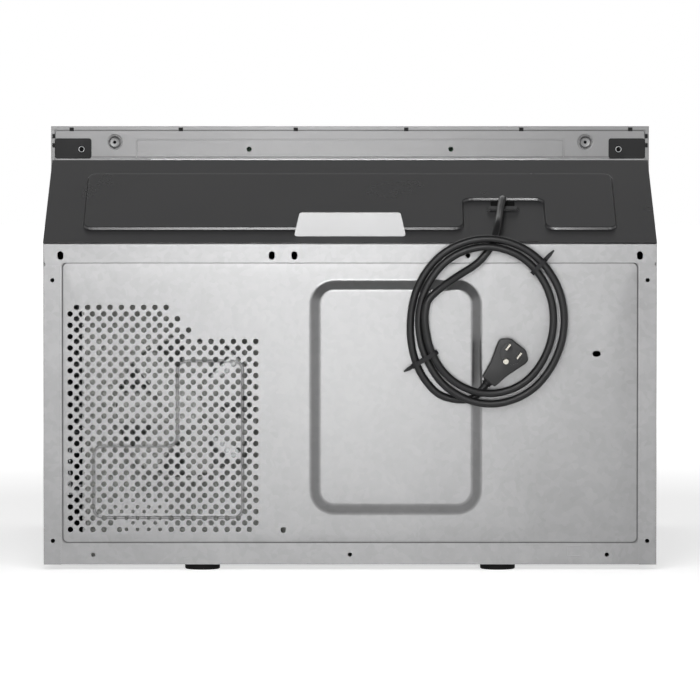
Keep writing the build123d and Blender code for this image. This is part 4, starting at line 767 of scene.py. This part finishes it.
cordRoute = {
    "diameter": 6.8,
    "exit": [
        (-140.9, 215.75, 326.98), (-140.9, 219.95, 335.83), (-140.5, 228.27, 338.64),
        (-138.8, 244.54, 332.14),
        (-136.6, 265.97, 323.07), (-134.8, 286.99, 316.53), (-133.0, 297.95, 308.0), (-129.5, 302.65, 297.5),
        (-122.0, 303.15, 286.5), (-114.0, 304.05, 278.5), (-98.5, 307.95, 269.4), (-83.0, 312.95, 258.8),
        (-72.0, 315.85, 249.1), (-68.8, 316.05, 242.6),
    ],
    "coilCentre": (-124.8, 310.45, 227.6),
    "coil": [
        (57.6, 5.6, 0.0), (51.8, 4.6, -29.9), (32.4, 1.7, -56.0), (0.0, 0.0, -68.2), (-33.7, 0.0, -58.4),
        (-54.2, 0.0, -31.3), (-61.3, 0.0, 0.0), (-55.3, 0.0, 31.9), (-34.1, 0.0, 59.0), (0.0, 0.0, 70.4),
        (34.5, 0.0, 59.8), (56.7, 0.0, 32.7), (64.1, 0.0, 0.0), (57.6, 0.0, -33.3), (36.7, 0.0, -63.6),
        (0.0, 0.0, -78.1), (-38.6, 0.0, -66.9), (-62.9, 0.0, -36.3), (-71.5, 0.0, 0.0), (-63.7, 0.0, 36.8),
        (-38.2, 0.0, 66.2), (0.0, 0.0, 77.9), (38.3, -1.1, 66.4), (63.3, -3.5, 36.5), (71.6, -4.4, 0.0),
        (66.8, -5.3, -38.5), (48.0, -7.0, -66.0), (29.0, -7.3, -72.0),
    ],
    "lead": [(12.6, -7.3, -71.0), (6.2, -7.3, -63.8), (1.0, -6.5, -57.2)],
}


def addCord(route):
    centre = np.array(route["coilCentre"])
    coil, lead = centre + np.array(route["coil"]), centre + np.array(route["lead"])
    points = np.vstack([np.array(route["exit"]), coil, lead])
    curve = bpy.data.curves.new("cordCurve", "CURVE")
    curve.dimensions = "3D"
    curve.bevel_depth = route["diameter"] / 2 * mm
    curve.bevel_resolution = 6
    curve.resolution_u = 10
    curve.use_fill_caps = True
    spline = curve.splines.new("NURBS")
    spline.points.add(len(points) - 1)
    flat = np.hstack([points * mm, np.ones((len(points), 1))])
    spline.points.foreach_set("co", flat.ravel())
    spline.order_u = 3
    spline.use_endpoint_u = True
    cord = bpy.data.objects.new("supplyCord", curve)
    cord.data.materials.append(finishes["cordJacket"])
    bpy.context.scene.collection.objects.link(cord)
    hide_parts("power_cord", "cord_coil", "plug_lead")
    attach(cord, "chassis")
    return cord


addCord(cordRoute)
print("cord laid")


# studio

studio = {
    "floorHalf": 20.0, "floorColor": (0.80, 0.80, 0.80), "glowNear": 0.6, "glowFar": 1.0,
    "glowReach": (0.8, 2.2),
    "fill": 0.2, "backdrop": 1.0, "paleBelow": 0.20, "greyAbove": 0.45,
    "lamps": [
        {"name": "keySoftbox", "place": (0.10, 2.3, 0.68), "aim": (0.0, 0.29, 0.28), "size": (0.36, 0.22),
         "power": 7.0},
        {"name": "lowSoftbox", "place": (0.02, 2.3, 0.14), "aim": (0.0, 0.29, 0.16), "size": (0.32, 0.2),
         "power": 2.6},
        {"name": "nearSoftbox", "place": (0.05, 0.95, 0.60), "aim": (0.0, 0.29, 0.30), "size": (0.5, 0.13),
         "power": 2.2},
        {"name": "highSoftbox", "place": (0.0, 1.3, 1.15), "aim": (0.0, 0.25, 0.30), "size": (1.3, 0.04),
         "power": 1.2},
        {"name": "frontSoftbox", "place": (0.0, -3.6, 2.6), "aim": (0.0, 0.0, 0.2), "size": (3.0, 1.4),
         "power": 22.0},
        {"name": "leftSoftbox", "place": (1.5, 2.7, 0.9), "aim": (0.0, 0.29, 0.2), "size": (0.2, 0.9),
         "power": 5.0},
        {"name": "rightSoftbox", "place": (-1.5, 2.7, 0.9), "aim": (0.0, 0.29, 0.2), "size": (0.2, 0.9),
         "power": 5.0},
    ],
}


def addWorld(look):
    world = bpy.data.worlds.new("studioWorld")
    bpy.context.scene.world = world
    world.use_nodes = True
    tree = world.node_tree
    back = tree.nodes["Background"]
    path = addNode(tree, "ShaderNodeLightPath")
    seen = addNode(tree, "ShaderNodeMath", operation="MAXIMUM")
    both = addNode(tree, "ShaderNodeMath", operation="MAXIMUM")
    tree.links.new(path.outputs["Is Camera Ray"], seen.inputs[0])
    tree.links.new(path.outputs["Is Glossy Ray"], seen.inputs[1])
    tree.links.new(seen.outputs[0], both.inputs[0])
    tree.links.new(path.outputs["Is Transmission Ray"], both.inputs[1])
    # the pale backdrop stands round the horizon and fades to the ceiling's grey
    way = addNode(tree, "ShaderNodeTexCoord")
    split = addNode(tree, "ShaderNodeSeparateXYZ")
    pale = addNode(tree, "ShaderNodeMapRange", {"From Min": look["paleBelow"], "From Max": look["greyAbove"],
                                                "To Min": 1.0, "To Max": 0.0},
                   interpolation_type="SMOOTHSTEP")
    shown = addNode(tree, "ShaderNodeMath", operation="MULTIPLY")
    level = addNode(tree, "ShaderNodeMapRange", {"To Min": look["fill"], "To Max": look["backdrop"]})
    tree.links.new(way.outputs["Generated"], split.inputs[0])
    tree.links.new(split.outputs["Z"], pale.inputs["Value"])
    tree.links.new(both.outputs[0], shown.inputs[0])
    tree.links.new(pale.outputs["Result"], shown.inputs[1])
    tree.links.new(shown.outputs[0], level.inputs["Value"])
    tree.links.new(level.outputs["Result"], back.inputs["Strength"])
    back.inputs["Color"].default_value = (1.0, 1.0, 1.0, 1.0)


def addFloor(look):
    half = look["floorHalf"]
    mesh = bpy.data.meshes.new("studioFloor")
    corners = [(-half, -half, 0), (half, -half, 0), (half, half, 0), (-half, half, 0)]
    mesh.from_pydata(corners, [], [(0, 1, 2, 3)])
    floor = bpy.data.objects.new("studioFloor", mesh)
    bpy.context.scene.collection.objects.link(floor)
    material, tree, shader = newMaterial("floorPale")
    shader.inputs["Base Color"].default_value = (*look["floorColor"], 1.0)
    shader.inputs["Roughness"].default_value = 0.9
    shader.inputs["Specular IOR Level"].default_value = 0.1
    path = addNode(tree, "ShaderNodeLightPath")
    seen = addNode(tree, "ShaderNodeMath", operation="MAXIMUM")
    both = addNode(tree, "ShaderNodeMath", operation="MAXIMUM")
    glow = addNode(tree, "ShaderNodeMath", operation="MULTIPLY")
    spot = addNode(tree, "ShaderNodeTexCoord")
    away = addNode(tree, "ShaderNodeVectorMath", operation="LENGTH")
    near, far = look["glowReach"]
    reach = addNode(tree, "ShaderNodeMapRange", {"From Min": near, "From Max": far,
                                                 "To Min": look["glowNear"], "To Max": look["glowFar"]})
    tree.links.new(spot.outputs["Object"], away.inputs[0])
    tree.links.new(away.outputs["Value"], reach.inputs["Value"])
    tree.links.new(reach.outputs["Result"], glow.inputs[1])
    tree.links.new(path.outputs["Is Camera Ray"], seen.inputs[0])
    tree.links.new(path.outputs["Is Glossy Ray"], seen.inputs[1])
    tree.links.new(seen.outputs[0], both.inputs[0])
    tree.links.new(path.outputs["Is Transmission Ray"], both.inputs[1])
    tree.links.new(both.outputs[0], glow.inputs[0])
    shader.inputs["Emission Color"].default_value = (1.0, 1.0, 1.0, 1.0)
    tree.links.new(glow.outputs[0], shader.inputs["Emission Strength"])
    mesh.materials.append(material)


def addLamp(look):
    data = bpy.data.lights.new(look["name"], "AREA")
    data.shape = "RECTANGLE"
    data.size, data.size_y = look["size"]
    data.energy = look["power"]
    lamp = bpy.data.objects.new(look["name"], data)
    lamp.location = look["place"]
    lamp.rotation_euler = (Vector(look["aim"]) - Vector(look["place"])).to_track_quat("-Z", "Y").to_euler()
    bpy.context.scene.collection.objects.link(lamp)


addWorld(studio)
addFloor(studio)
for lampLook in studio["lamps"]:
    addLamp(lampLook)
bpy.context.scene.view_settings.view_transform = "Standard"
print("studio set")
